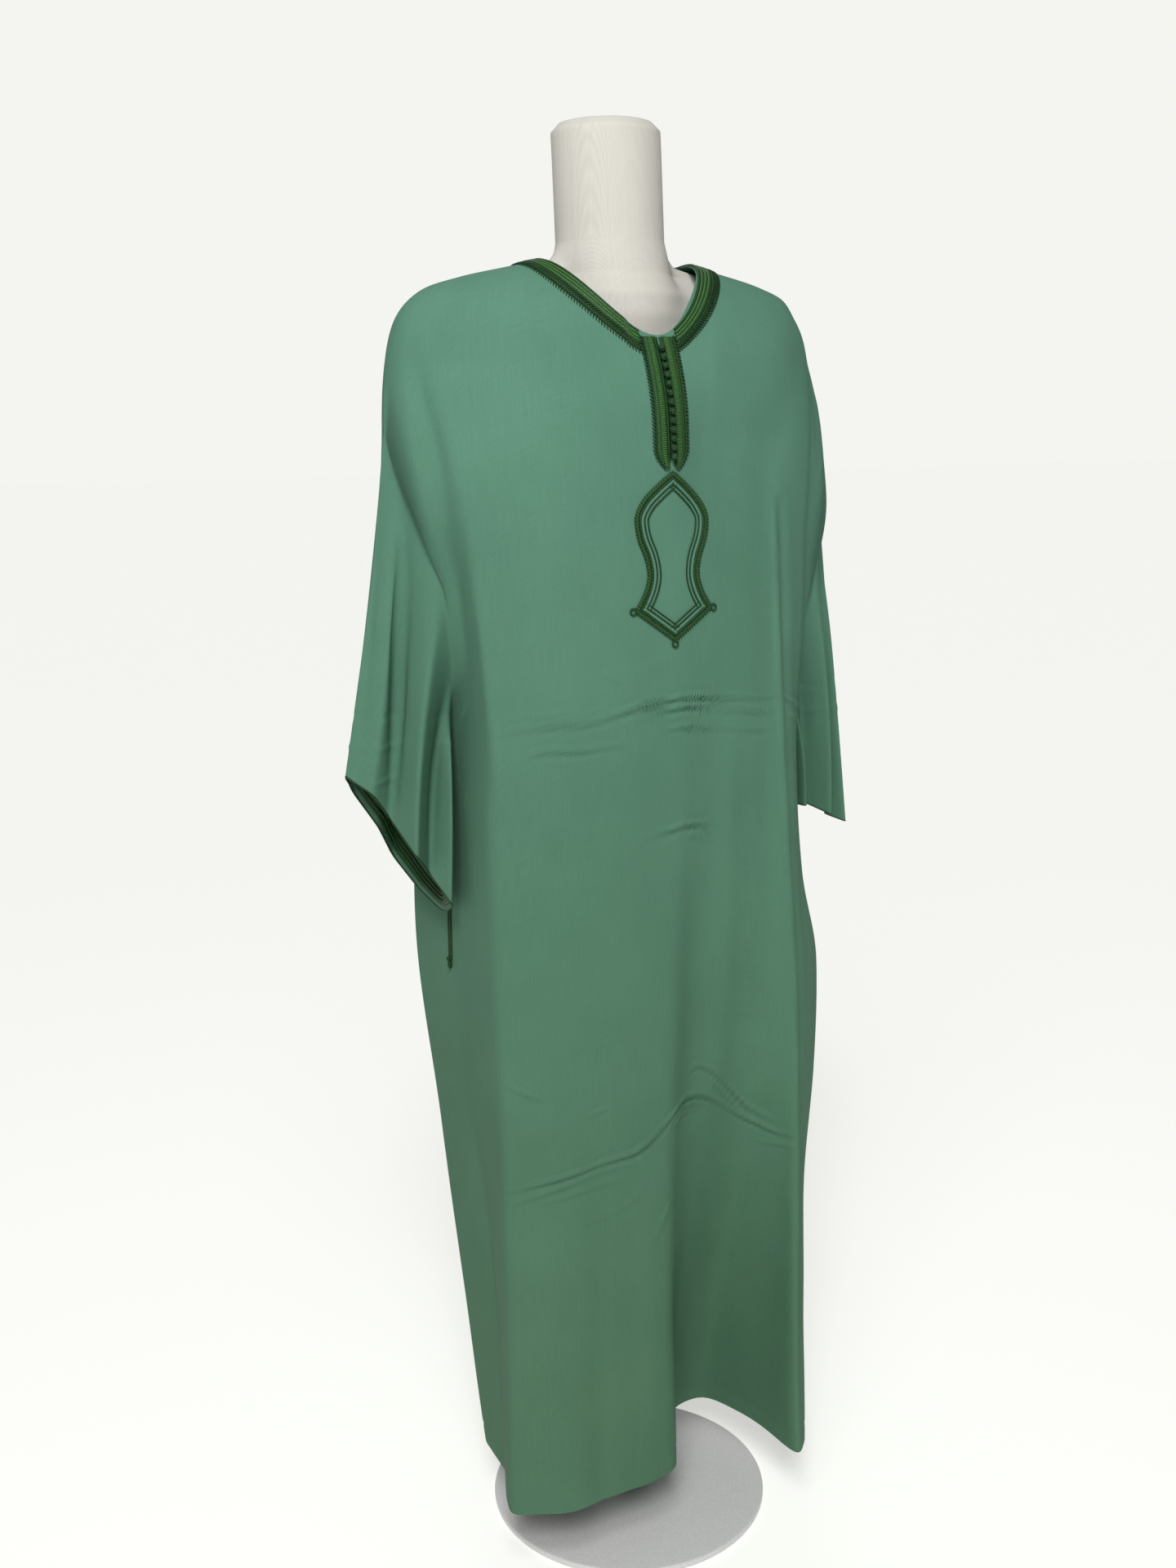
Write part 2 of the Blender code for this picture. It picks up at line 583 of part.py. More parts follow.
def knots(surface, finish):
    """The row of knotted buttons between the placket's braids."""
    pitch = (PLACKET_LENGTH - 0.016) / (KNOT_COUNT - 1)
    for index in range(KNOT_COUNT):
        height = PLACKET_TOP - 0.014 - index * pitch
        bpy.ops.mesh.primitive_uv_sphere_add(segments=8, ring_count=5, radius=KNOT_RADIUS)
        knot = bpy.context.object
        knot.name = f"knot_{index + 1:02d}"
        knot.location = surface.front(0.0, height, KNOT_RADIUS + TRIM_CLEARANCE)
        knot.data.shade_smooth()
        knot.data.materials.append(finish)


def ornament_outline(inset, count=44):
    """Points round the ornament, x and height, moved in from its outer edge."""
    side = []
    for drop in np.linspace(0, ORNAMENT_SHAPE[-1][0], 26):
        side.append((smooth_read(ORNAMENT_SHAPE, drop)[0], ORNAMENT_TOP - drop))
    side.append((0.0, ORNAMENT_TOP - ORNAMENT_HEIGHT))
    ring = np.array([(0.0, ORNAMENT_TOP + 0.002)] + side + [(-x, z) for x, z in side[-2::-1]])
    lengths = np.concatenate([[0], np.cumsum(np.linalg.norm(np.diff(np.vstack([ring, ring[:1]]), axis=0), axis=1))])
    closed = np.vstack([ring, ring[:1]])
    places = np.linspace(0, lengths[-1], count, endpoint=False)
    even = np.array([[np.interp(place, lengths, column) for column in closed.T] for place in places])
    along = np.roll(even, -1, axis=0) - np.roll(even, 1, axis=0)
    inward = unit(np.column_stack([along[:, 1], -along[:, 0]]))
    centre = even.mean(axis=0)
    if ((centre - even) * inward).sum() < 0:
        inward = -inward
    return even + inward * inset


def ornament_ring(name, surface, insets, heights, base, finish):
    """A closed band round the ornament. insets and heights give its top face across; base is its clearance."""
    outer, inner = [], []
    for inset, height in zip(insets, heights):
        ring = ornament_outline(inset)
        outer.append([surface.front(x, z, base + height) for x, z in ring])
        inner.append([surface.front(x, z, base) for x, z in ring])
    return closed_wall(name, np.array(outer), np.array(inner), True, finish)


def ornament(surface, finish):
    half = ORNAMENT_BRAID_WIDTH / 2
    ornament_ring("ornament_braid", surface, (-half, -half / 2, 0, half / 2, half),
                  (0.0012, 0.0030, 0.0024, 0.0030, 0.0012), TRIM_CLEARANCE, finish)
    for index, inset in enumerate(PIPING_INSETS):
        width = PIPING_RADIUS
        ornament_ring(f"ornament_piping_{index + 1}", surface, (inset - width, inset, inset + width),
                      (0.0006, 0.0018, 0.0006), TRIM_CLEARANCE, finish)


def slit_braid(name, side, surface, finish):
    """The braid down a pocket slit in the side seam."""
    rows = 12
    outer, inner = [], []
    for row in range(rows + 1):
        height = SLIT_TOP - SLIT_LENGTH * row / rows
        x, y = seam_point(True, side, height)
        low_row, high_row = [], []
        for across, thick in ((-0.5, 0.0010), (-0.25, 0.0024), (0, 0.0014), (0.25, 0.0024), (0.5, 0.0010)):
            start = Vector((side * 1.0, y + across * SLIT_BRAID_WIDTH, height))
            point, normal, _, _ = surface.tree.ray_cast(start, Vector((-side, 0, 0)))
            normal = normal if normal.x * side > 0 else -normal
            low_row.append(np.array(point + normal * TRIM_CLEARANCE))
            high_row.append(np.array(point + normal * (TRIM_CLEARANCE + thick)))
        outer.append(high_row)
        inner.append(low_row)
    return closed_wall(name, np.array(outer), np.array(inner), False, finish)


def cuff_braid(name, cloth, finish):
    """The braid inside a cuff, following its folds."""
    rows = np.array(CUFF_BRAID_ROWS) * SLEEVE_ROWS
    lower = np.minimum(rows.astype(int), SLEEVE_ROWS - 1)
    part = (rows - lower)[:, None, None]
    grid = cloth.grid[lower] * (1 - part) + cloth.grid[lower + 1] * part
    normals = unit(cloth.normals[lower] * (1 - part) + cloth.normals[lower + 1] * part)
    near = CLOTH / 2 + TRIM_CLEARANCE
    return closed_wall(name, grid - normals * near, grid - normals * (near + CUFF_BRAID_THICKNESS), True, finish)


def form_radius(turn, width, depth, neck):
    """How far the form reaches from its middle, where its flat shoulders blend into its round neck."""
    shoulders = 1 / math.hypot(math.sin(turn) / width, math.cos(turn) / depth)
    return (shoulders**FORM_BLEND + neck**FORM_BLEND) ** (1 / FORM_BLEND)


def dress_form(finish):
    """The limbless torso with its capped neck, as rings up its sections."""
    corners, faces = [], []
    for height, width, depth, middle, neck in FORM_SECTIONS:
        for index in range(FORM_SIDES):
            turn = 2 * math.pi * index / FORM_SIDES
            reach = form_radius(turn, width, depth, neck)
            corners.append((reach * math.sin(turn), middle - reach * math.cos(turn), height))
    for ring in range(len(FORM_SECTIONS) - 1):
        for index in range(FORM_SIDES):
            at, beside = ring * FORM_SIDES + index, ring * FORM_SIDES + (index + 1) % FORM_SIDES
            faces.append((at, beside, beside + FORM_SIDES, at + FORM_SIDES))
    faces.append(tuple(reversed(range(FORM_SIDES))))
    faces.append(tuple(range(len(corners) - FORM_SIDES, len(corners))))
    return mesh_object("form_torso", corners, faces, finish)


def cylinder(name, radius, low, high, sides, bevel, finish):
    bpy.ops.mesh.primitive_cylinder_add(
        vertices=sides, radius=radius, depth=high - low, location=(0, 0, (low + high) / 2)
    )
    made = bpy.context.object
    made.name = name
    if bevel:
        rounding = made.modifiers.new("rounding", "BEVEL")
        rounding.width = bevel
        rounding.segments = 1
        rounding.limit_method = "ANGLE"
    made.data.materials.append(finish)
    return made


def main():
    clear_scene()
    cloth_finish = material("sage_cloth", (0.105, 0.235, 0.160), 0.78)
    braid_finish = material("dark_green_braid", (0.014, 0.060, 0.016), 0.6)
    linen = material("form_linen", (0.62, 0.60, 0.55), 0.85)
    steel = material("stand_steel", (0.62, 0.62, 0.62), 0.4, 1.0)
    front, back, sleeves = build_robe()
    for name, cloth in (("front_panel", front), ("back_panel", back), *sleeves.items()):
        reach = cloth.normals * CLOTH / 2
        closed_wall(name, cloth.grid + reach, cloth.grid - reach, cloth.ring, cloth_finish)
    surface = Surface((front, back))
    neck_band(surface, braid_finish)
    placket_braid("placket_braid_right", -1, surface, braid_finish)
    placket_braid("placket_braid_left", 1, surface, braid_finish)
    knots(surface, braid_finish)
    ornament(surface, braid_finish)
    slit_braid("slit_braid_right", -1, surface, braid_finish)
    slit_braid("slit_braid_left", 1, surface, braid_finish)
    for side in ("right", "left"):
        cuff_braid(f"cuff_braid_{side}", sleeves[f"sleeve_{side}"], braid_finish)
    dress_form(linen)
    torso_bottom = FORM_SECTIONS[0][0]
    cylinder("form_base", BASE_RADIUS, 0, BASE_THICKNESS, 48, 0.003, steel)
    cylinder("form_pole", POLE_RADIUS, BASE_THICKNESS + SEAT_GAP, torso_bottom - SEAT_GAP, 24, 0, steel)


main()
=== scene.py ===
import math
import bpy
import bmesh
import numpy as np
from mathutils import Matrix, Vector
from mathutils.bvhtree import BVHTree


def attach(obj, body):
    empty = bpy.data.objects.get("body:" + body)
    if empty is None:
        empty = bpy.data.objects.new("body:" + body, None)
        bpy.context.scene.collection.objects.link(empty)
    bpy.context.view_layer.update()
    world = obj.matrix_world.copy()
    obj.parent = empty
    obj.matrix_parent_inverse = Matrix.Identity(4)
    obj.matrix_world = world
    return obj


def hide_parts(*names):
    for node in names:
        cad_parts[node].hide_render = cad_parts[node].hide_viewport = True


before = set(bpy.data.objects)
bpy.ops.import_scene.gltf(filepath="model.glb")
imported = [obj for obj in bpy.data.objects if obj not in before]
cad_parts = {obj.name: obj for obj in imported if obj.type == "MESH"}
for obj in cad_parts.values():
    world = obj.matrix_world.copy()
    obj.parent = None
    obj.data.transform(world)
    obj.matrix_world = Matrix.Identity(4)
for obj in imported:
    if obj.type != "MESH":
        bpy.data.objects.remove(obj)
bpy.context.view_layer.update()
print("frame loaded")


# camera, where the photograph was taken from: in front of the robe's right shoulder
camera = {"distance": 1.798, "azimuth": -25.86, "height": 1.273, "pitch": 11.37, "yaw": 0.94, "roll": 1.0,
          "lens": 36.28}

cameraData = bpy.data.cameras.new("photoCamera")
cameraData.lens = camera["lens"]
cameraObject = bpy.data.objects.new("photoCamera", cameraData)
bpy.context.scene.collection.objects.link(cameraObject)
aroundAngle = math.radians(camera["azimuth"])
cameraObject.location = (
    camera["distance"] * math.sin(aroundAngle),
    -camera["distance"] * math.cos(aroundAngle),
    camera["height"],
)
cameraObject.rotation_euler = (
    math.radians(90 - camera["pitch"]),
    math.radians(camera["roll"]),
    math.radians(camera["azimuth"] + camera["yaw"]),
)
bpy.context.scene.camera = cameraObject


# general helpers
def deselectAll():
    if bpy.context.mode != "OBJECT":
        bpy.ops.object.mode_set(mode="OBJECT")
    bpy.ops.object.select_all(action="DESELECT")


def activate(piece):
    deselectAll()
    piece.select_set(True)
    bpy.context.view_layer.objects.active = piece


def unit(vectors):
    return vectors / np.linalg.norm(vectors, axis=-1, keepdims=True)


def smoothStep(low, high, value):
    part = np.clip((value - low) / (high - low), 0, 1)
    return part * part * (3 - 2 * part)


# columns of a table at places in its first column, on a curve that keeps within its rows
def smoothRead(table, where):
    table = np.asarray(table, float)
    if table[0, 0] > table[-1, 0]:
        table = table[::-1]
    places = table[:, 0]
    where = np.clip(np.asarray(where, float), places[0], places[-1])
    row = np.clip(np.searchsorted(places, where, side="right") - 1, 0, len(places) - 2)
    steps = np.diff(places)
    slopes = np.diff(table[:, 1:], axis=0) / steps[:, None]
    tangents = np.vstack([slopes[:1], (slopes[:-1] + slopes[1:]) / 2, slopes[-1:]])
    tangents[1:-1][slopes[:-1] * slopes[1:] <= 0] = 0.0
    part = ((where - places[row]) / steps[row])[..., None]
    a, b = table[row, 1:], table[row + 1, 1:]
    fromA, fromB = tangents[row] * steps[row][..., None], tangents[row + 1] * steps[row][..., None]
    return (
        a * (2 * part**3 - 3 * part**2 + 1)
        + fromA * (part**3 - 2 * part**2 + part)
        + b * (3 * part**2 - 2 * part**3)
        + fromB * (part**3 - part**2)
    )


# a piece from points and faces, with its object at the origin; uv is one pair for each point
def meshPiece(name, points, faces, uv=None):
    mesh = bpy.data.meshes.new(name)
    mesh.from_pydata([tuple(p) for p in points], [], [tuple(int(i) for i in f) for f in faces])
    if uv is not None:
        layer = mesh.uv_layers.new(name="cut")
        corners = np.zeros(len(mesh.loops), np.int32)
        mesh.loops.foreach_get("vertex_index", corners)
        layer.data.foreach_set("uv", np.asarray(uv, np.float32)[corners].ravel())
    mesh.shade_smooth()
    piece = bpy.data.objects.new(name, mesh)
    bpy.context.scene.collection.objects.link(piece)
    return piece


def finishPiece(piece, finish, slotName, *nodes):
    piece.data.materials.clear()
    piece.data.materials.append(finish)
    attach(piece, "root")
    if nodes:
        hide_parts(*nodes)
    return piece


# shader groups
def newGroup(name, inputs, outputs):
    group = bpy.data.node_groups.new(name, "ShaderNodeTree")
    for label, kind, value in inputs:
        socket = group.interface.new_socket(name=label, in_out="INPUT", socket_type=kind)
        if value is not None:
            socket.default_value = value
    for label, kind in outputs:
        group.interface.new_socket(name=label, in_out="OUTPUT", socket_type=kind)
    nodes = group.nodes
    return group, nodes, nodes.new("NodeGroupInput"), nodes.new("NodeGroupOutput"), group.links.new


def mathNode(nodes, join, operation, *values):
    node = nodes.new("ShaderNodeMath")
    node.operation = operation
    for index, value in enumerate(values):
        if hasattr(value, "node"):
            join(value, node.inputs[index])
        else:
            node.inputs[index].default_value = value
    return node.outputs[0]


def noiseNode(nodes, join, place, scale, detail=2.0):
    noise = nodes.new("ShaderNodeTexNoise")
    noise.inputs["Scale"].default_value = scale
    noise.inputs["Detail"].default_value = detail
    join(place, noise.inputs["Vector"])
    return noise.outputs["Fac"]


# plain weave with slubs: reads a flat place in metres, gives a shade from 0 to 1 and a height
def wovenGroup():
    group, nodes, given, out, join = newGroup(
        "wovenThreads",
        [("Place", "NodeSocketVector", None), ("Thread Step", "NodeSocketFloat", 0.0011),
         ("Slub Amount", "NodeSocketFloat", 0.5)],
        [("Shade", "NodeSocketFloat"), ("Height", "NodeSocketFloat")],
    )
    split = nodes.new("ShaderNodeSeparateXYZ")
    join(given.outputs["Place"], split.inputs[0])
    waves = []
    for axis in ("X", "Y"):
        turns = mathNode(nodes, join, "DIVIDE", split.outputs[axis], given.outputs["Thread Step"])
        wave = mathNode(nodes, join, "SINE", mathNode(nodes, join, "MULTIPLY", turns, 2 * math.pi))
        waves.append(wave)
    crossing = mathNode(nodes, join, "MULTIPLY", waves[0], waves[1])
    slubs = []
    for scale in ((30.0, 900.0, 1.0), (900.0, 24.0, 1.0)):
        stretch = nodes.new("ShaderNodeVectorMath")
        stretch.operation = "MULTIPLY"
        join(given.outputs["Place"], stretch.inputs[0])
        stretch.inputs[1].default_value = scale
        slubs.append(noiseNode(nodes, join, stretch.outputs[0], 1.0))
    slub = mathNode(nodes, join, "MULTIPLY", mathNode(nodes, join, "ADD", slubs[0], slubs[1]), 0.5)
    mix = nodes.new("ShaderNodeMix")
    mix.data_type = "FLOAT"
    join(given.outputs["Slub Amount"], mix.inputs["Factor"])
    base = mathNode(nodes, join, "MULTIPLY_ADD", crossing, 0.25, 0.5)
    join(base, mix.inputs["A"])
    join(slub, mix.inputs["B"])
    join(mix.outputs["Result"], out.inputs["Shade"])
    join(mathNode(nodes, join, "MULTIPLY_ADD", crossing, 0.4, mix.outputs["Result"]), out.inputs["Height"])
    return group


# twisted thread: slanted fibres along a cord, from a flat place along and round it
def cordGroup():
    group, nodes, given, out, join = newGroup(
        "twistedThread",
        [("Place", "NodeSocketVector", None), ("Fibre Step", "NodeSocketFloat", 0.0012)],
        [("Shade", "NodeSocketFloat"), ("Height", "NodeSocketFloat")],
    )
    fibres = noiseNode(nodes, join, given.outputs["Place"], 1400.0, 3.0)
    split = nodes.new("ShaderNodeSeparateXYZ")
    join(given.outputs["Place"], split.inputs[0])
    sideways = mathNode(nodes, join, "ADD", split.outputs["Y"], split.outputs["Z"])
    slant = mathNode(nodes, join, "ADD", split.outputs["X"], sideways)
    turns = mathNode(nodes, join, "DIVIDE", slant, given.outputs["Fibre Step"])
    wave = mathNode(nodes, join, "SINE", mathNode(nodes, join, "MULTIPLY", turns, 2 * math.pi))
    for label, amount in (("Height", 0.3), ("Shade", 0.18)):
        join(mathNode(nodes, join, "MULTIPLY_ADD", wave, amount, fibres), out.inputs[label])
    return group


groups = {"woven": wovenGroup(), "cord": cordGroup()}


def newMaterial(name):
    made = bpy.data.materials.new(name)
    made.use_nodes = True
    nodes = made.node_tree.nodes
    return made, nodes, nodes["Principled BSDF"], made.node_tree.links.new


def placeGroup(nodes, key, values):
    node = nodes.new("ShaderNodeGroup")
    node.node_tree = groups[key]
    for label, value in values.items():
        node.inputs[label].default_value = value
    return node


def colourRamp(nodes, stops):
    ramp = nodes.new("ShaderNodeValToRGB")
    while len(ramp.color_ramp.elements) < len(stops):
        ramp.color_ramp.elements.new(0.5)
    for element, (place, colour) in zip(ramp.color_ramp.elements, stops):
        element.position = place
        element.color = (*colour, 1.0)
    return ramp


def addBump(nodes, join, height, shader, strength, distance):
    bump = nodes.new("ShaderNodeBump")
    bump.inputs["Strength"].default_value = strength
    bump.inputs["Distance"].default_value = distance
    join(height, bump.inputs["Height"])
    join(bump.outputs["Normal"], shader.inputs["Normal"])


# a pattern's shade goes through a colour ramp into the shader, and its height into a bump
def joinPattern(nodes, join, shader, shade, stops, height, bump, roughness):
    if stops:
        ramp = colourRamp(nodes, stops)
        join(shade, ramp.inputs["Fac"])
        join(ramp.outputs["Color"], shader.inputs["Base Color"])
    shader.inputs["Roughness"].default_value = roughness
    addBump(nodes, join, height, shader, *bump)


def wovenNode(nodes, finish):
    return placeGroup(nodes, "woven", {"Thread Step": finish["threadStep"], "Slub Amount": finish["slubs"]})


# painted light: the upper colours at the top fade to darker, yellower lower colours towards the bottom,
# standing in for light that falls off from above
sageCloth = {
    "upperDark": (0.063, 0.157, 0.107),
    "upperLight": (0.095, 0.222, 0.155),
    "lowerDark": (0.058, 0.136, 0.080),
    "lowerLight": (0.087, 0.188, 0.114),
    "shadeRange": (0.40, 0.92),
    "paintedLightHeights": (0.25, 1.25),
    "threadStep": 0.0011,
    "slubs": 0.62,
    "clouds": (9.0, 3.0, 0.35),
    "roughness": 0.80,
    "specular": 0.12,
    "bump": (0.35, 0.0004),
}


def sageMaterial():
    made, nodes, shader, join = newMaterial("sageCloth")
    place = nodes.new("ShaderNodeUVMap")
    place.uv_map = "cut"
    weave = wovenNode(nodes, sageCloth)
    join(place.outputs["UV"], weave.inputs["Place"])
    where = nodes.new("ShaderNodeTexCoord")
    split = nodes.new("ShaderNodeSeparateXYZ")
    join(where.outputs["Object"], split.inputs[0])
    # painted light: the object's height picks between the upper and lower colours, so the cloth is painted
    # darker and yellower towards the bottom
    height = nodes.new("ShaderNodeMapRange")
    for label, value in zip(("From Min", "From Max"), sageCloth["paintedLightHeights"]):
        height.inputs[label].default_value = value
    join(split.outputs["Z"], height.inputs["Value"])
    scale, detail, amount = sageCloth["clouds"]
    cloudy = noiseNode(nodes, join, where.outputs["Object"], scale, detail)
    shade = mathNode(nodes, join, "MULTIPLY_ADD", cloudy, amount, weave.outputs["Shade"])
    mix = nodes.new("ShaderNodeMix")
    mix.data_type = "RGBA"
    join(height.outputs["Result"], mix.inputs["Factor"])
    for level, socket in (("lower", 6), ("upper", 7)):
        colours = (sageCloth[level + "Dark"], sageCloth[level + "Light"])
        ramp = colourRamp(nodes, list(zip(sageCloth["shadeRange"], colours)))
        join(shade, ramp.inputs["Fac"])
        join(ramp.outputs["Color"], mix.inputs[socket])
    join(mix.outputs[2], shader.inputs["Base Color"])
    shader.inputs["Specular IOR Level"].default_value = sageCloth["specular"]
    joinPattern(nodes, join, shader, shade, None, weave.outputs["Height"], sageCloth["bump"],
                sageCloth["roughness"])
    return made


braidSilk = {
    "darkGreen": ((0.002, 0.012, 0.003), (0.008, 0.040, 0.010), (0.024, 0.090, 0.022)),
    "lightGreen": ((0.005, 0.024, 0.006), (0.018, 0.074, 0.019), (0.055, 0.165, 0.042)),
    "brightGreen": ((0.014, 0.055, 0.012), (0.045, 0.145, 0.030), (0.150, 0.340, 0.080)),
    "shades": (0.28, 0.52, 0.80),
    "roughness": 0.50,
    "specular": 0.22,
    "fibreStep": 0.0011,
    "bump": (0.5, 0.0003),
}


def silkMaterial(name, colours):
    made, nodes, shader, join = newMaterial(name)
    where = nodes.new("ShaderNodeTexCoord")
    fibres = placeGroup(nodes, "cord", {"Fibre Step": braidSilk["fibreStep"]})
    join(where.outputs["Object"], fibres.inputs["Place"])
    shader.inputs["Specular IOR Level"].default_value = braidSilk["specular"]
    joinPattern(nodes, join, shader, fibres.outputs["Shade"], list(zip(braidSilk["shades"], colours)),
                fibres.outputs["Height"], braidSilk["bump"], braidSilk["roughness"])
    return made


formLinen = {
    "stops": ((0.25, (0.42, 0.405, 0.36)), (0.75, (0.53, 0.515, 0.47))),
    "threadStep": 0.0016,
    "slubs": 0.5,
    "roughness": 0.88,
    "bump": (0.3, 0.0004),
}


def linenMaterial():
    made, nodes, shader, join = newMaterial("formLinen")
    where = nodes.new("ShaderNodeTexCoord")
    weave = wovenNode(nodes, formLinen)
    join(where.outputs["Object"], weave.inputs["Place"])
    joinPattern(nodes, join, shader, weave.outputs["Shade"], formLinen["stops"], weave.outputs["Height"],
                formLinen["bump"], formLinen["roughness"])
    return made


standPaint = {
    "stops": ((0.35, (0.56, 0.56, 0.55)), (0.70, (0.66, 0.66, 0.65))),
    "speckle": 700.0,
    "roughness": 0.42,
    "bump": (0.15, 0.0002),
}


def steelMaterial():
    made, nodes, shader, join = newMaterial("standPaint")
    where = nodes.new("ShaderNodeTexCoord")
    speckle = noiseNode(nodes, join, where.outputs["Object"], standPaint["speckle"])
    joinPattern(nodes, join, shader, speckle, standPaint["stops"], speckle, standPaint["bump"],
                standPaint["roughness"])
    return made


finishes = {
    "sage": sageMaterial(),
    "dark": silkMaterial("darkSilk", braidSilk["darkGreen"]),
    "light": silkMaterial("lightSilk", braidSilk["lightGreen"]),
    "bright": silkMaterial("brightSilk", braidSilk["brightGreen"]),
    "linen": linenMaterial(),
    "steel": steelMaterial(),
}
print("materials made")


# the robe's body: the same sizes and lines as the solids, on a finer grid, with creases pressed in
robe = {
    "cloth": 0.0011,
    "hemHeight": 0.08,
    "underarmHeight": 0.985,
    "neckHalfWidth": 0.088,
    "neckFrontDepth": 0.105,
    "neckBackDepth": 0.075,
    "neckFrontHeight": 1.405,
    "neckBackHeight": 1.478,
    "neckShare": 0.26,
    "shoulderRound": 0.17,
    "sideRound": 0.22,
    "columnShares": (1.0, 0.82, 0.60, 0.26),
    "columnCounts": (8, 21, 14),
    "neckColumns": 34,
    "foldRounding": 0.07,
    "turnStep": 0.0143,
    "turnPower": 0.545,
}

# row steps of the body grid, as shares of a column's fall: where, step; finer where creases cross
rowSteps = (
    (0.00, 0.0032), (0.21, 0.0032), (0.235, 0.0016), (0.310, 0.0016), (0.330, 0.0034), (0.365, 0.0019),
    (0.410, 0.0019), (0.430, 0.0040), (0.545, 0.0040), (0.570, 0.0019), (0.715, 0.0019), (0.750, 0.0042),
    (1.00, 0.0042),
)

# shoulder ridge: share of the half panel, half width, height
ridge = (
    (0.26, 0.088, 1.488), (0.38, 0.132, 1.479), (0.52, 0.180, 1.468), (0.64, 0.220, 1.454),
    (0.74, 0.245, 1.430), (0.84, 0.258, 1.392), (0.92, 0.263, 1.352), (1.00, 0.266, 1.310),
)

# how far the left shoulder is drawn in, where the robe has slipped to that side: height, share of the width
leftShoulder = (
    (1.475, 1.000), (1.460, 0.970), (1.430, 0.925), (1.390, 0.925), (1.360, 0.940), (1.330, 0.958),
    (1.290, 0.975), (1.240, 0.985), (1.120, 1.000),
)

# armhole edge: height, half width, y
armholes = {
    True: ((1.31, 0.266, 0.000), (1.24, 0.242, -0.044), (1.15, 0.224, -0.056), (1.05, 0.212, -0.036),
           (0.985, 0.208, 0.008)),
    False: ((1.31, 0.266, 0.000), (1.24, 0.252, 0.036), (1.15, 0.232, 0.050), (1.05, 0.214, 0.040),
            (0.985, 0.208, 0.008)),
}

# side seams: height, x, y
sideSeams = {
    -1: ((0.985, -0.208, 0.008), (0.90, -0.203, 0.018), (0.71, -0.205, 0.020), (0.39, -0.178, -0.008),
         (0.08, -0.170, -0.020)),
    1: ((0.985, 0.208, 0.008), (0.90, 0.208, 0.012), (0.80, 0.212, 0.012), (0.69, 0.226, 0.010),
        (0.56, 0.221, 0.006), (0.39, 0.208, 0.000), (0.08, 0.199, -0.030)),
}

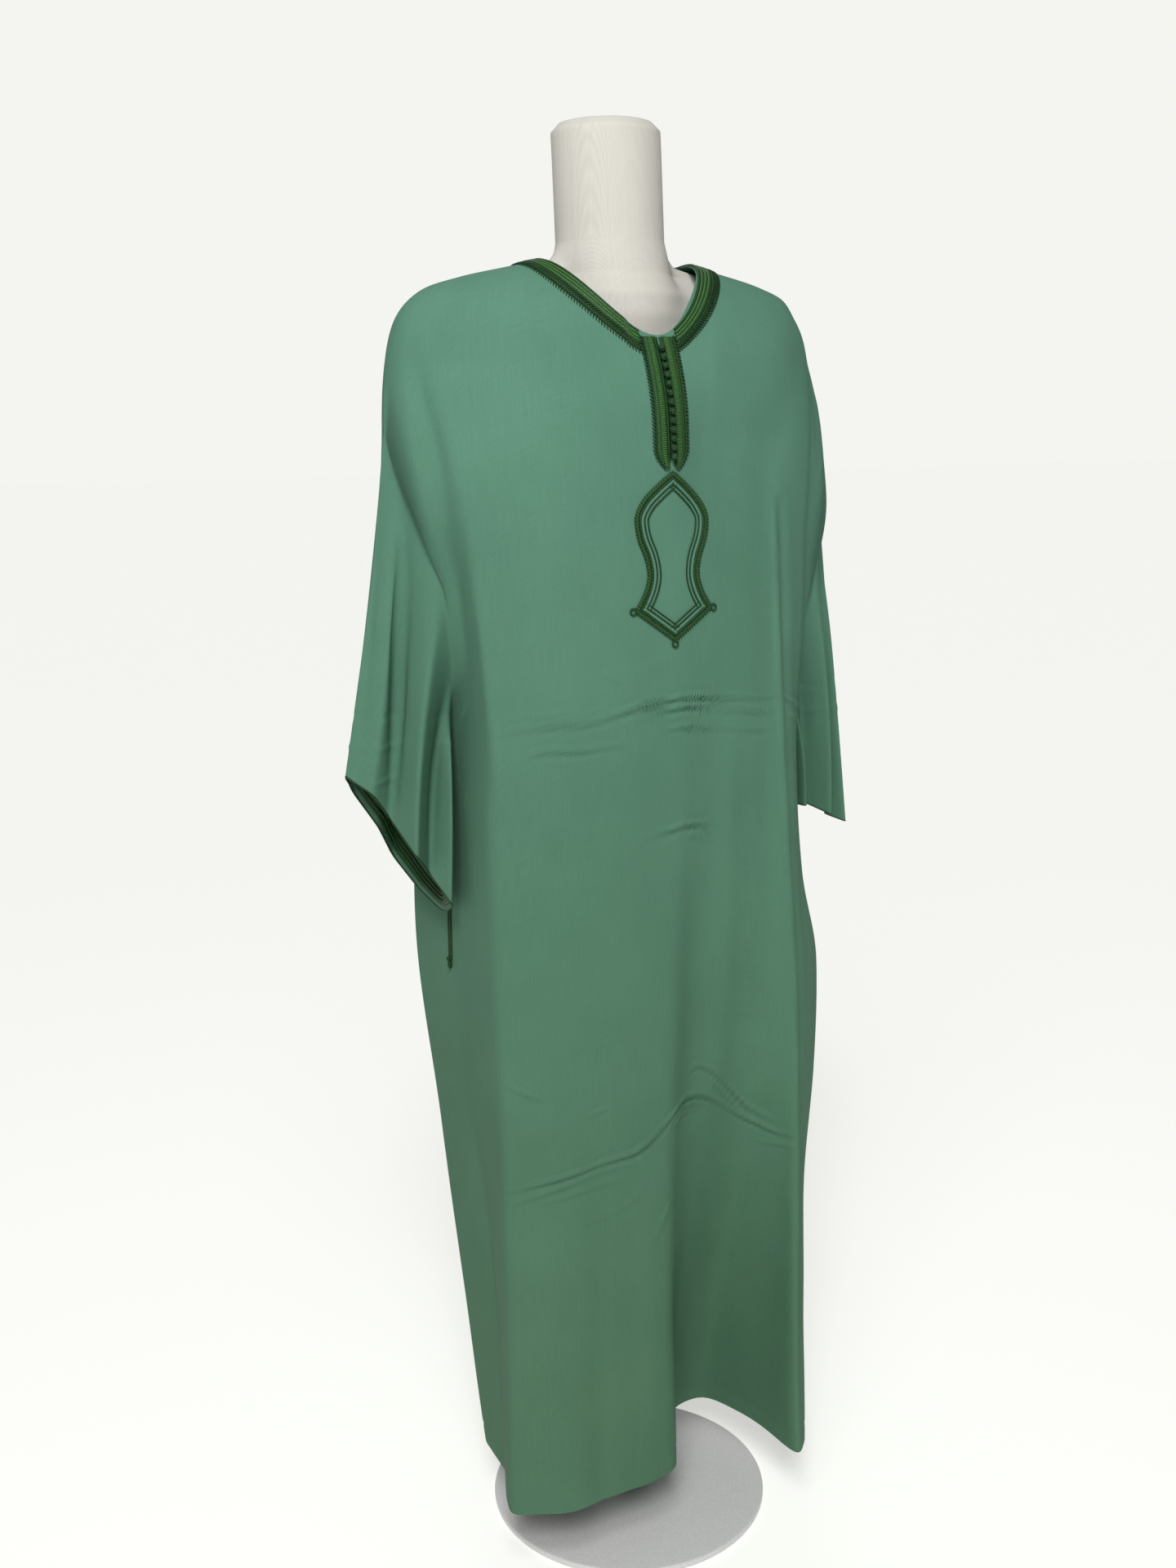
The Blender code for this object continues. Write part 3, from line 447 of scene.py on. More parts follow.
# fold edges and valleys: share across the panel, then height, x, y down the cloth
foldLines = {
    True: (
        (-1.00, None),
        (-0.86, ((1.36, -0.247, -0.040), (1.25, -0.230, -0.070), (1.12, -0.214, -0.078),
                 (0.98, -0.208, -0.062), (0.70, -0.203, -0.052), (0.40, -0.189, -0.050),
                 (0.08, -0.188, -0.055))),
        (-0.70, ((1.38, -0.218, -0.058), (1.30, -0.215, -0.088), (1.15, -0.209, -0.105),
                 (0.95, -0.204, -0.108), (0.70, -0.200, -0.106), (0.40, -0.196, -0.098),
                 (0.08, -0.196, -0.092))),
        (-0.40, ((1.38, -0.122, -0.104), (1.30, -0.118, -0.124), (1.15, -0.114, -0.134),
                 (0.90, -0.112, -0.137), (0.50, -0.112, -0.130), (0.08, -0.116, -0.120))),
        (0.00, ((1.40, 0.000, -0.107), (1.30, 0.000, -0.130), (1.15, 0.000, -0.139), (0.95, 0.000, -0.143),
                (0.60, -0.006, -0.137), (0.35, 0.002, -0.122), (0.08, 0.020, -0.100))),
        (0.22, ((1.30, 0.058, -0.126), (1.15, 0.056, -0.135), (0.95, 0.052, -0.136), (0.70, 0.048, -0.122),
                (0.45, 0.052, -0.086), (0.25, 0.056, -0.024), (0.08, 0.062, 0.022))),
        (0.42, ((1.30, 0.100, -0.116), (1.15, 0.098, -0.127), (0.95, 0.096, -0.132), (0.70, 0.098, -0.124),
                (0.45, 0.106, -0.078), (0.25, 0.114, -0.016), (0.08, 0.122, 0.024))),
        (0.56, ((1.30, 0.130, -0.105), (1.15, 0.124, -0.118), (0.95, 0.122, -0.126), (0.70, 0.128, -0.130),
                (0.45, 0.140, -0.112), (0.25, 0.148, -0.080), (0.08, 0.153, -0.056))),
        (0.70, ((1.38, 0.178, -0.072), (1.30, 0.162, -0.096), (1.15, 0.150, -0.112), (0.95, 0.146, -0.127),
                (0.70, 0.153, -0.142), (0.40, 0.158, -0.147), (0.08, 0.161, -0.147))),
        (0.86, ((1.36, 0.236, -0.040), (1.25, 0.218, -0.066), (1.12, 0.209, -0.074), (0.98, 0.206, -0.068),
                (0.80, 0.212, -0.072), (0.69, 0.230, -0.078), (0.56, 0.222, -0.084), (0.40, 0.206, -0.088),
                (0.08, 0.196, -0.110))),
        (1.00, None),
    ),
    False: (
        (-1.00, None),
        (-0.74, ((1.38, -0.222, 0.062), (1.28, -0.222, 0.088), (1.15, -0.218, 0.104), (0.95, -0.219, 0.112),
                 (0.77, -0.222, 0.112), (0.50, -0.203, 0.102), (0.25, -0.183, 0.084), (0.08, -0.170, 0.066))),
        (-0.52, ((1.38, -0.150, 0.098), (1.28, -0.150, 0.118), (1.12, -0.150, 0.128), (0.90, -0.150, 0.128),
                 (0.55, -0.140, 0.116), (0.30, -0.126, 0.100), (0.08, -0.112, 0.086))),
        (-0.28, ((1.38, -0.082, 0.112), (1.28, -0.082, 0.128), (1.12, -0.084, 0.140), (0.90, -0.088, 0.148),
                 (0.55, -0.088, 0.158), (0.30, -0.084, 0.164), (0.08, -0.080, 0.170))),
        (0.00, ((1.42, 0.000, 0.098), (1.28, 0.000, 0.124), (1.12, 0.000, 0.132), (0.90, 0.000, 0.126),
                (0.55, 0.004, 0.104), (0.30, 0.006, 0.086), (0.08, 0.008, 0.070))),
        (0.28, ((1.38, 0.082, 0.112), (1.28, 0.082, 0.128), (1.12, 0.084, 0.142), (0.90, 0.088, 0.152),
                (0.55, 0.092, 0.166), (0.30, 0.094, 0.176), (0.08, 0.096, 0.182))),
        (0.54, ((1.38, 0.152, 0.098), (1.28, 0.152, 0.116), (1.12, 0.152, 0.122), (0.90, 0.154, 0.118),
                (0.55, 0.152, 0.104), (0.30, 0.146, 0.092), (0.08, 0.140, 0.084))),
        (0.76, ((1.38, 0.222, 0.062), (1.28, 0.222, 0.086), (1.15, 0.218, 0.102), (0.95, 0.218, 0.110),
                (0.77, 0.220, 0.114), (0.50, 0.218, 0.116), (0.25, 0.214, 0.112), (0.08, 0.208, 0.106))),
        (1.00, None),
    ),
}

# creases pressed into the cloth: points (x, height), half width, height of the line (a trough is below 0)
creases = {
    True: (
        ([(-0.198, 1.001), (-0.148, 1.011), (-0.101, 1.009), (-0.068, 1.019), (-0.020, 1.029), (0.021, 1.031),
          (0.087, 1.023), (0.135, 1.019)], 0.0024, 0.0013),
        ([(-0.198, 0.995), (-0.148, 1.005), (-0.101, 1.003), (-0.068, 1.013), (-0.020, 1.023), (0.021, 1.025),
          (0.087, 1.017), (0.135, 1.013)], 0.0024, -0.0009),
        ([(-0.180, 1.017), (-0.140, 1.020), (-0.100, 1.018), (-0.072, 1.026)], 0.0022, 0.0007),
        ([(-0.050, 1.011), (-0.020, 1.018), (0.021, 1.021), (0.075, 1.012), (0.134, 1.001)], 0.0023, 0.0011),
        ([(-0.050, 1.005), (-0.020, 1.012), (0.021, 1.015), (0.075, 1.006), (0.134, 0.995)], 0.0024, -0.0007),
        ([(-0.030, 0.994), (0.010, 1.000), (0.064, 0.992), (0.134, 0.982)], 0.0024, 0.0009),
        ([(-0.010, 0.990), (0.010, 0.993), (0.064, 0.985), (0.120, 0.977)], 0.0024, -0.0006),
        ([(-0.165, 0.979), (-0.144, 0.984), (-0.115, 0.981), (-0.059, 0.985)], 0.0022, 0.0010),
        ([(-0.160, 0.973), (-0.144, 0.978), (-0.115, 0.975), (-0.070, 0.979)], 0.0024, -0.0006),
        ([(-0.084, 1.062), (-0.072, 1.054), (-0.064, 1.050)], 0.0028, 0.0007),
        ([(-0.040, 1.058), (-0.020, 1.066), (-0.008, 1.068)], 0.0030, 0.0006),
        ([(0.146, 1.018), (0.181, 1.004), (0.202, 0.996)], 0.0024, 0.0012),
        ([(0.146, 0.998), (0.181, 0.988), (0.202, 0.984)], 0.0026, 0.0008),
        ([(-0.046, 0.876), (-0.021, 0.885), (0.015, 0.892), (0.049, 0.885), (0.071, 0.875)], 0.0026, 0.0010),
        ([(-0.040, 0.870), (-0.021, 0.878), (0.015, 0.885), (0.049, 0.878), (0.066, 0.870)], 0.0026, -0.0007),
        ([(0.014, 0.878), (0.040, 0.874), (0.070, 0.862)], 0.0026, 0.0007),
        ([(-0.195, 0.487), (-0.151, 0.499), (-0.082, 0.515), (-0.041, 0.520), (-0.004, 0.554), (0.024, 0.566),
          (0.054, 0.560), (0.098, 0.524), (0.136, 0.500), (0.159, 0.501)], 0.0025, 0.0013),
        ([(-0.195, 0.481), (-0.151, 0.493), (-0.082, 0.509), (-0.041, 0.513), (-0.004, 0.547), (0.024, 0.559),
          (0.054, 0.553), (0.098, 0.517), (0.136, 0.494), (0.157, 0.494)], 0.0025, -0.0009),
        ([(-0.195, 0.471), (-0.147, 0.487), (-0.102, 0.502), (-0.056, 0.505)], 0.0024, 0.0009),
        ([(-0.006, 0.544), (0.022, 0.556), (0.050, 0.548), (0.066, 0.540)], 0.0022, 0.0009),
        ([(0.000, 0.536), (0.022, 0.547), (0.046, 0.541)], 0.0022, 0.0008),
        ([(0.029, 0.599), (0.047, 0.600), (0.082, 0.568), (0.115, 0.526), (0.138, 0.516)], 0.0025, 0.0012),
        ([(0.029, 0.592), (0.047, 0.593), (0.078, 0.563), (0.110, 0.522)], 0.0025, -0.0008),
        ([(0.052, 0.585), (0.078, 0.556), (0.104, 0.527)], 0.0022, 0.0008),
        ([(0.120, 0.486), (0.138, 0.484), (0.156, 0.487)], 0.0022, 0.0008),
        ([(-0.194, 0.617), (-0.176, 0.604), (-0.155, 0.595)], 0.0024, 0.0011),
        ([(-0.104, 0.572), (-0.092, 0.576), (-0.082, 0.575)], 0.0024, 0.0008),
        ([(-0.029, 0.401), (-0.013, 0.428), (-0.004, 0.445)], 0.0026, 0.0010),
        ([(-0.117, 0.446), (-0.082, 0.447), (-0.051, 0.460), (-0.041, 0.478)], 0.0026, 0.0008),
        ([(-0.100, 0.430), (-0.070, 0.432), (-0.046, 0.446)], 0.0030, 0.0006),
        ([(-0.160, 0.472), (-0.110, 0.484), (-0.060, 0.490)], 0.0026, 0.0007),
        ([(0.139, 1.240), (0.141, 1.100), (0.143, 0.974), (0.149, 0.872), (0.151, 0.798), (0.155, 0.690),
          (0.158, 0.500), (0.160, 0.300), (0.161, 0.100)], 0.0050, 0.0012),
        ([(0.152, 1.240), (0.154, 1.100), (0.156, 0.974), (0.161, 0.872), (0.164, 0.798), (0.168, 0.690),
          (0.171, 0.500), (0.173, 0.300), (0.173, 0.100)], 0.0070, -0.0028),
    ),
    False: (
        ([(-0.205, 0.998), (-0.100, 1.010), (0.010, 1.018), (0.090, 1.008), (0.205, 1.000)], 0.0025, 0.0011),
        ([(-0.200, 0.991), (-0.100, 1.003), (0.010, 1.011), (0.090, 1.001), (0.195, 0.993)], 0.0027, -0.0007),
        ([(-0.160, 0.980), (-0.040, 0.992), (0.070, 0.990), (0.150, 0.982)], 0.0026, 0.0007),
        ([(-0.100, 0.872), (-0.020, 0.888), (0.070, 0.882)], 0.0030, 0.0008),
        ([(-0.190, 0.488), (-0.090, 0.512), (0.004, 0.548), (0.080, 0.532), (0.190, 0.505)], 0.0027, 0.0011),
        ([(-0.186, 0.480), (-0.090, 0.504), (0.004, 0.540), (0.080, 0.524), (0.184, 0.498)], 0.0028, -0.0007),
        ([(-0.120, 0.486), (-0.050, 0.508), (0.020, 0.520), (0.100, 0.500)], 0.0028, 0.0008),
        ([(0.060, 0.610), (0.104, 0.590), (0.140, 0.560)], 0.0032, 0.0008),
        ([(-0.160, 0.640), (-0.110, 0.618), (-0.060, 0.622)], 0.0040, 0.0007),
        ([(-0.110, 1.240), (-0.020, 1.232), (0.060, 1.238)], 0.0070, 0.0006),
    ),
}

# soft folds that run down: x at the top and at the bottom, top height, bottom height, half width, height
softFolds = {
    True: (
        (0.078, 0.060, 1.06, 0.52, 0.016, 0.0030),
        (0.020, 0.028, 0.92, 0.20, 0.020, -0.0040),
        (-0.060, -0.052, 1.30, 0.60, 0.030, 0.0018),
        (-0.150, -0.146, 0.90, 0.10, 0.022, 0.0026),
        (-0.100, -0.086, 0.62, 0.08, 0.018, -0.0024),
        (-0.040, -0.022, 0.56, 0.08, 0.020, 0.0030),
        (0.190, 0.186, 1.10, 0.30, 0.012, -0.0026),
        (0.120, 0.118, 0.80, 0.35, 0.012, -0.0022),
        (-0.243, -0.206, 1.44, 0.90, 0.009, -0.0060),
        (-0.256, -0.232, 1.42, 1.10, 0.008, 0.0030),
        (0.224, 0.204, 1.43, 0.90, 0.009, -0.0050),
    ),
    False: (
        (-0.116, -0.104, 1.20, 0.10, 0.020, -0.0034),
        (-0.040, -0.034, 1.00, 0.10, 0.018, 0.0026),
        (0.046, 0.050, 1.10, 0.10, 0.020, -0.0030),
        (0.122, 0.118, 1.20, 0.20, 0.020, 0.0030),
        (0.186, 0.180, 1.05, 0.12, 0.014, -0.0026),
        (-0.180, -0.160, 1.05, 0.20, 0.014, 0.0026),
    ),
}


# upper edge of a panel: the neckline, then the shoulder ridge and its drop to the armhole
def topEdge(front, share):
    half = np.abs(share)
    beyond = smoothRead(ridge, half)
    turn = np.minimum(half / robe["neckShare"], 1) * math.pi / 2
    depth = -robe["neckFrontDepth"] if front else robe["neckBackDepth"]
    low = robe["neckFrontHeight"] if front else robe["neckBackHeight"]
    bend = 1 - (1 - (ridge[0][2] - low) / robe["shoulderRound"]) ** 2
    height = ridge[0][2] - robe["shoulderRound"] * (1 - np.sqrt(1 - bend * np.cos(turn) ** 2))
    inNeck = half < robe["neckShare"]
    x = np.where(inNeck, robe["neckHalfWidth"] * np.sin(turn), beyond[:, 0])
    y = np.where(inNeck, depth * np.cos(turn), 0.0)
    z = np.where(inNeck, height, beyond[:, 1])
    return np.column_stack([np.sign(share) * x, y, z])


def seamPlace(front, side, height):
    below = smoothRead(sideSeams[side], height)
    above = smoothRead(armholes[front], height) * (side, 1)
    return np.where((height <= robe["underarmHeight"])[:, None], below, above)


# straight runs between the lines, carried on past each end by turning the end run about its end
def onLines(lineShares, corners, share):
    low, high = share < lineShares[0], share > lineShares[-1]
    inside = np.where(low, 2 * lineShares[0] - share, np.where(high, 2 * lineShares[-1] - share, share))
    at = np.clip(np.searchsorted(lineShares, inside, side="right") - 1, 0, len(lineShares) - 2)
    part = ((inside - lineShares[at]) / (lineShares[at + 1] - lineShares[at]))[:, None]
    column = np.arange(len(share))
    value = corners[at, column] * (1 - part) + corners[at + 1, column] * part
    value = np.where(low[:, None], 2 * corners[0] - value, value)
    return np.where(high[:, None], 2 * corners[-1] - value, value)


# the runs with their corners rounded off, by averaging over a short run on both sides
def roundedLines(lineShares, corners, share, rounding):
    total, weights = 0.0, 0.0
    for step in np.linspace(-1, 1, 11):
        weight = math.cos(step * math.pi / 2 * 0.94) ** 1.2
        total = total + onLines(lineShares, corners, share + rounding * step) * weight
        weights += weight
    return total / weights


# how much of its full depth the cloth has reached this far below the shoulder ridge
def forwardShare(drop):
    return np.sqrt(1 - (1 - np.clip(drop / robe["shoulderRound"], 0, 1)) ** 2)


# the corners of a line cut off twice, so that it runs in a curve
def roundedLine(points):
    for _ in range(2):
        cuts = [points[:1]]
        for a, b in zip(points[:-1], points[1:]):
            cuts.append(np.array([a * 0.75 + b * 0.25, a * 0.25 + b * 0.75]))
        points = np.vstack([*cuts, points[-1:]])
    return points


def acrossLines(front, share, height):
    lines = foldLines[front]
    lineShares = np.array([line[0] for line in lines])
    corners = []
    for lineShare, table in lines:
        if table:
            corners.append(smoothRead(table, height))
        else:
            corners.append(seamPlace(front, int(lineShare), height))
    return roundedLines(lineShares, np.array(corners), share, robe["foldRounding"])


def bodyPoints(front, share, fall):
    top = topEdge(front, share)
    height = top[:, 2] + (robe["hemHeight"] - top[:, 2]) * fall
    full = acrossLines(front, share, height)
    drawnIn = np.where(share > 0, smoothRead(leftShoulder, height)[:, 0], 1.0)
    half = np.abs(share)
    crest = np.where(half < robe["neckShare"], ridge[0][2], top[:, 2])
    beside = smoothStep(0, robe["sideRound"], top[:, 2] - height)
    atTop = acrossLines(front, share, top[:, 2])[:, 1] * forwardShare(crest - top[:, 2])
    x = top[:, 0] + (full[:, 0] - top[:, 0]) * beside
    y = full[:, 1] * forwardShare(crest - height) + (top[:, 1] - atTop) * (1 - beside)
    atSeam = half >= 1
    x, y = np.where(atSeam, full[:, 0], x), np.where(atSeam, full[:, 1], y)
    return np.column_stack([x * drawnIn, y, height])


def rowsBetween(low, high):
    wheres, steps = np.array(rowSteps).T
    places = [low]
    while places[-1] < high:
        # the cloth turns over the shoulder here
        steepest = robe["turnStep"] * places[-1] ** robe["turnPower"] + 0.00002
        places.append(places[-1] + min(steepest, np.interp(places[-1], wheres, steps)))
    places = np.array(places)
    return low + (places - low) * (high - low) / (places[-1] - low)


def fallRows():
    top = ridge[-1][2]
    underarm = (top - robe["underarmHeight"]) / (top - robe["hemHeight"])
    upper = rowsBetween(0.0, underarm)
    return np.concatenate([upper, rowsBetween(underarm, 1.0)[1:]]), len(upper) - 1


neckEasing = {"columns": 4, "below": 0.05, "passes": 40, "pull": 0.5}


def bodyGrid(front):
    neck = np.linspace(-robe["neckShare"], robe["neckShare"], robe["neckColumns"] + 1)
    runs = zip(robe["columnShares"][:-1], robe["columnShares"][1:], robe["columnCounts"])
    outerShares = np.concatenate([np.linspace(-a, -b, count, endpoint=False) for a, b, count in runs])
    shares = np.concatenate([outerShares, neck, -outerShares[::-1]])
    falls, _ = fallRows()
    share, fall = np.meshgrid(shares, falls)
    points = bodyPoints(front, share.ravel(), fall.ravel()).reshape(len(falls), len(shares), 3)
    # below the ends of the neckline the cloth is eased sideways, so that no edge runs down from them
    column = np.arange(len(shares))
    neckEnds = (len(outerShares), len(outerShares) + len(neck) - 1)
    near = sum(np.exp(-((column - end) / neckEasing["columns"]) ** 2) for end in neckEnds)
    eased = near[1:-1] * smoothStep(0, neckEasing["below"], points[:1, 1:-1, 2] - points[:, 1:-1, 2])
    for _ in range(neckEasing["passes"]):
        between = (points[:, :-2] + points[:, 2:]) / 2
        points[:, 1:-1] += (between - points[:, 1:-1]) * eased[..., None] * neckEasing["pull"]
    return points, share


def gridNormals(grid, outward, ring=False):
    down = np.gradient(grid, axis=0)
    if ring:
        across = (np.roll(grid, -1, axis=1) - np.roll(grid, 1, axis=1)) / 2
    else:
        across = np.gradient(grid, axis=1)
    return unit(np.cross(across, down)) * outward


# how far each place is from a line, and how far along the line its nearest point is
def nearestOnLine(points, places):
    nearest = np.full(places.shape[:-1], 1.0)
    along = np.zeros(places.shape[:-1])
    started = 0.0
    for a, b in zip(points[:-1], points[1:]):
        length = np.linalg.norm(b - a)
        way = (b - a) / length
        part = np.clip((places - a) @ way, 0, length)
        away = np.linalg.norm(places - a - way * part[..., None], axis=-1)
        along = np.where(away < nearest, started + part, along)
        nearest = np.minimum(nearest, away)
        started += length
    return nearest, along, started


# a pressed line fades towards its ends, is uneven along itself, and has a shallow trough on both sides
pressed = {"strength": 2.2, "fade": 0.4, "uneven": 0.20, "unevenTurn": 61.0, "unevenStart": 40,
           "trough": 0.15, "troughPlace": 2.0, "troughWidth": 0.9}


# height of pressed lines at each place, fading out towards both ends of a line
def creaseHeights(lines, places):
    total = np.zeros(places.shape[:-1])
    for points, halfWidth, rise in lines:
        points = roundedLine(np.array(points))
        nearest, along, whole = nearestOnLine(points, places)
        fade = np.sin(np.clip(along / whole, 0, 1) * math.pi) ** pressed["fade"]
        wave = np.sin(along * pressed["unevenTurn"] + points[0, 0] * pressed["unevenStart"])
        away = nearest / halfWidth
        trough = np.exp(-((away - pressed["troughPlace"]) / pressed["troughWidth"]) ** 2)
        uneven = 1 - pressed["uneven"] + pressed["uneven"] * wave
        total += pressed["strength"] * rise * fade * uneven * (np.exp(-away**2) - pressed["trough"] * trough)
    return total


# soft folds wander a little, come in from the top and ease off above the hem
hanging = {"wander": 0.004, "wanderTurn": 9, "wanderStart": 30, "easeIn": 0.30, "easeOff": 0.85,
           "easeShare": 0.8, "aboveHem": 0.12}


def foldHeights(folds, x, z):
    total = np.zeros(x.shape)
    for topX, bottomX, top, bottom, halfWidth, rise in folds:
        part = np.clip((top - z) / (top - bottom), 0, 1)
        wander = hanging["wander"] * np.sin(z * hanging["wanderTurn"] + topX * hanging["wanderStart"])
        middle = topX + (bottomX - topX) * part + wander
        eased = smoothStep(hanging["easeOff"], 1.0, part) * (bottom > hanging["aboveHem"])
        eased *= hanging["easeShare"]
        window = smoothStep(0, hanging["easeIn"], part) * (1 - eased)
        total += rise * window * np.exp(-((x - middle) / halfWidth) ** 2)
    return total


# long folds beside the armholes, on the body and down each sleeve: points, half width, depth
bodyFolds = {
    -1: (
        ([(-0.240, -0.030, 1.430), (-0.243, -0.050, 1.344), (-0.239, -0.060, 1.270), (-0.232, -0.064, 1.196),
          (-0.222, -0.056, 1.100), (-0.214, -0.040, 1.000)], 0.010, 0.006),
        ([(-0.244, 0.050, 1.400), (-0.240, 0.064, 1.220), (-0.228, 0.064, 1.080)], 0.012, 0.006),
    ),
    1: (
        ([(0.228, -0.036, 1.410), (0.230, -0.050, 1.330), (0.222, -0.060, 1.240), (0.216, -0.058, 1.150),
          (0.212, -0.050, 1.040)], 0.010, 0.006),
        ([(0.240, 0.048, 1.380), (0.236, 0.062, 1.200), (0.228, 0.060, 1.080)], 0.012, 0.006),
    ),
}
sleeveFolds = {
    -1: (
        ([(-0.258, -0.030, 1.300), (-0.259, -0.026, 1.196), (-0.266, -0.012, 1.079), (-0.268, -0.006, 0.980),
          (-0.272, 0.000, 0.880)], 0.010, 0.009),
        ([(-0.238, -0.036, 1.190), (-0.234, -0.030, 1.100), (-0.234, -0.016, 1.000), (-0.238, -0.012, 0.850)],
         0.010, 0.007),
        ([(-0.272, 0.000, 1.330), (-0.280, -0.001, 1.234), (-0.299, -0.001, 1.049), (-0.308, 0.004, 0.950)],
         0.008, 0.003),
        ([(-0.244, 0.050, 1.200), (-0.240, 0.046, 1.080), (-0.250, 0.044, 0.930)], 0.010, 0.007),
        ([(-0.262, 0.032, 1.260), (-0.272, 0.034, 1.060), (-0.280, 0.030, 0.930)], 0.009, 0.006),
    ),
    1: (
        ([(0.256, -0.024, 1.260), (0.262, -0.016, 1.150), (0.268, -0.006, 1.040), (0.274, -0.004, 0.880)],
         0.009, 0.006),
        ([(0.242, -0.036, 1.170), (0.240, -0.026, 1.060), (0.242, -0.014, 0.920)], 0.009, 0.005),
        ([(0.258, 0.034, 1.240), (0.268, 0.034, 1.060), (0.278, 0.030, 0.890)], 0.010, 0.006),
    ),
}


def longFoldDepths(folds, places):
    total = np.zeros(places.shape[:-1])
    for points, halfWidth, depth in folds:
        nearest, along, whole = nearestOnLine(np.array(points), places)
        fade = np.sin(np.clip(along / whole, 0, 1) * math.pi) ** 1.5
        total -= depth * fade * np.exp(-(nearest / halfWidth) ** 2)
    return total


hem = {"turn": 0.022, "groove": 0.0007, "grooveWidth": 0.0022}


def bodyRelief(front, grid, share):
    x, z = grid[..., 0], grid[..., 2]
    relief = creaseHeights(creases[front], grid[..., ::2]) + foldHeights(softFolds[front], x, z)
    relief += 0.0007 * np.sin(x * 31 + z * 7.3) * np.sin(z * 17 + x * 5)
    relief *= smoothStep(0, 0.06, 1 - np.abs(share)) * smoothStep(0.0, 0.16, 1.47 - z)
    fade = smoothStep(0.0, 0.06, z[:1] - z) * smoothStep(0, 0.10, 1 - np.abs(share))
    for side in (-1, 1):
        relief += longFoldDepths(bodyFolds[side], grid) * fade * (share * side > 0)
    upTurn = (z - robe["hemHeight"] - hem["turn"]) / hem["grooveWidth"]
    return relief - hem["groove"] * np.exp(-upTurn**2)


# places on the flat cut, in metres: across each row from its middle, and down each column
def flatPlaces(grid):
    across = np.linalg.norm(np.diff(grid, axis=1), axis=2).cumsum(axis=1)
    across = np.hstack([np.zeros((len(grid), 1)), across])
    across -= across[:, across.shape[1] // 2][:, None]
    down = np.linalg.norm(np.diff(grid, axis=0), axis=2).cumsum(axis=0)
    down = np.vstack([np.zeros((1, grid.shape[1])), down])
    return np.stack([across, down], axis=-1)


# a thin closed sheet: both faces of the cloth and its edges
def clothPiece(name, grid, normals, ring, places, thickness, shading=None):
    rows, columns = grid.shape[:2]
    outer = grid + normals * thickness / 2
    inner = grid - normals * thickness / 2
    points = np.concatenate([outer.reshape(-1, 3), inner.reshape(-1, 3)])
    shift = rows * columns
    index = np.arange(shift).reshape(rows, columns)
    right = np.roll(index, -1, axis=1)
    stop = columns if ring else columns - 1
    a, b = index[:-1, :stop], right[:-1, :stop]
    c, d = right[1:, :stop], index[1:, :stop]
    quads = np.stack([a, b, c, d], axis=-1).reshape(-1, 4)
    faces = [quads[:, ::-1], quads + shift]
    for row, flip in ((0, False), (rows - 1, True)):
        near, far = index[row, :stop], right[row, :stop]
        edge = np.stack([near, near + shift, far + shift, far], axis=-1)
        faces.append(edge[:, ::-1] if not flip else edge)
    if not ring:
        for column, flip in ((0, True), (columns - 1, False)):
            near, far = index[:-1, column], index[1:, column]
            edge = np.stack([near, near + shift, far + shift, far], axis=-1)
            faces.append(edge[:, ::-1] if not flip else edge)
    uv = np.concatenate([places.reshape(-1, 2)] * 2)
    piece = meshPiece(name, points, np.concatenate(faces), uv)
    turnOutward(piece)
    if shading is not None:
        faced = np.concatenate([shading.reshape(-1, 3), -shading.reshape(-1, 3)])
        piece.data.normals_split_custom_set_from_vertices(faced.tolist())
    return piece


# turns a closed piece's faces over if it holds less than nothing
def turnOutward(piece):
    shaped = bmesh.new()
    shaped.from_mesh(piece.data)
    if shaped.calc_volume(signed=True) < 0:
        bmesh.ops.reverse_faces(shaped, faces=shaped.faces)
        shaped.to_mesh(piece.data)
    shaped.free()


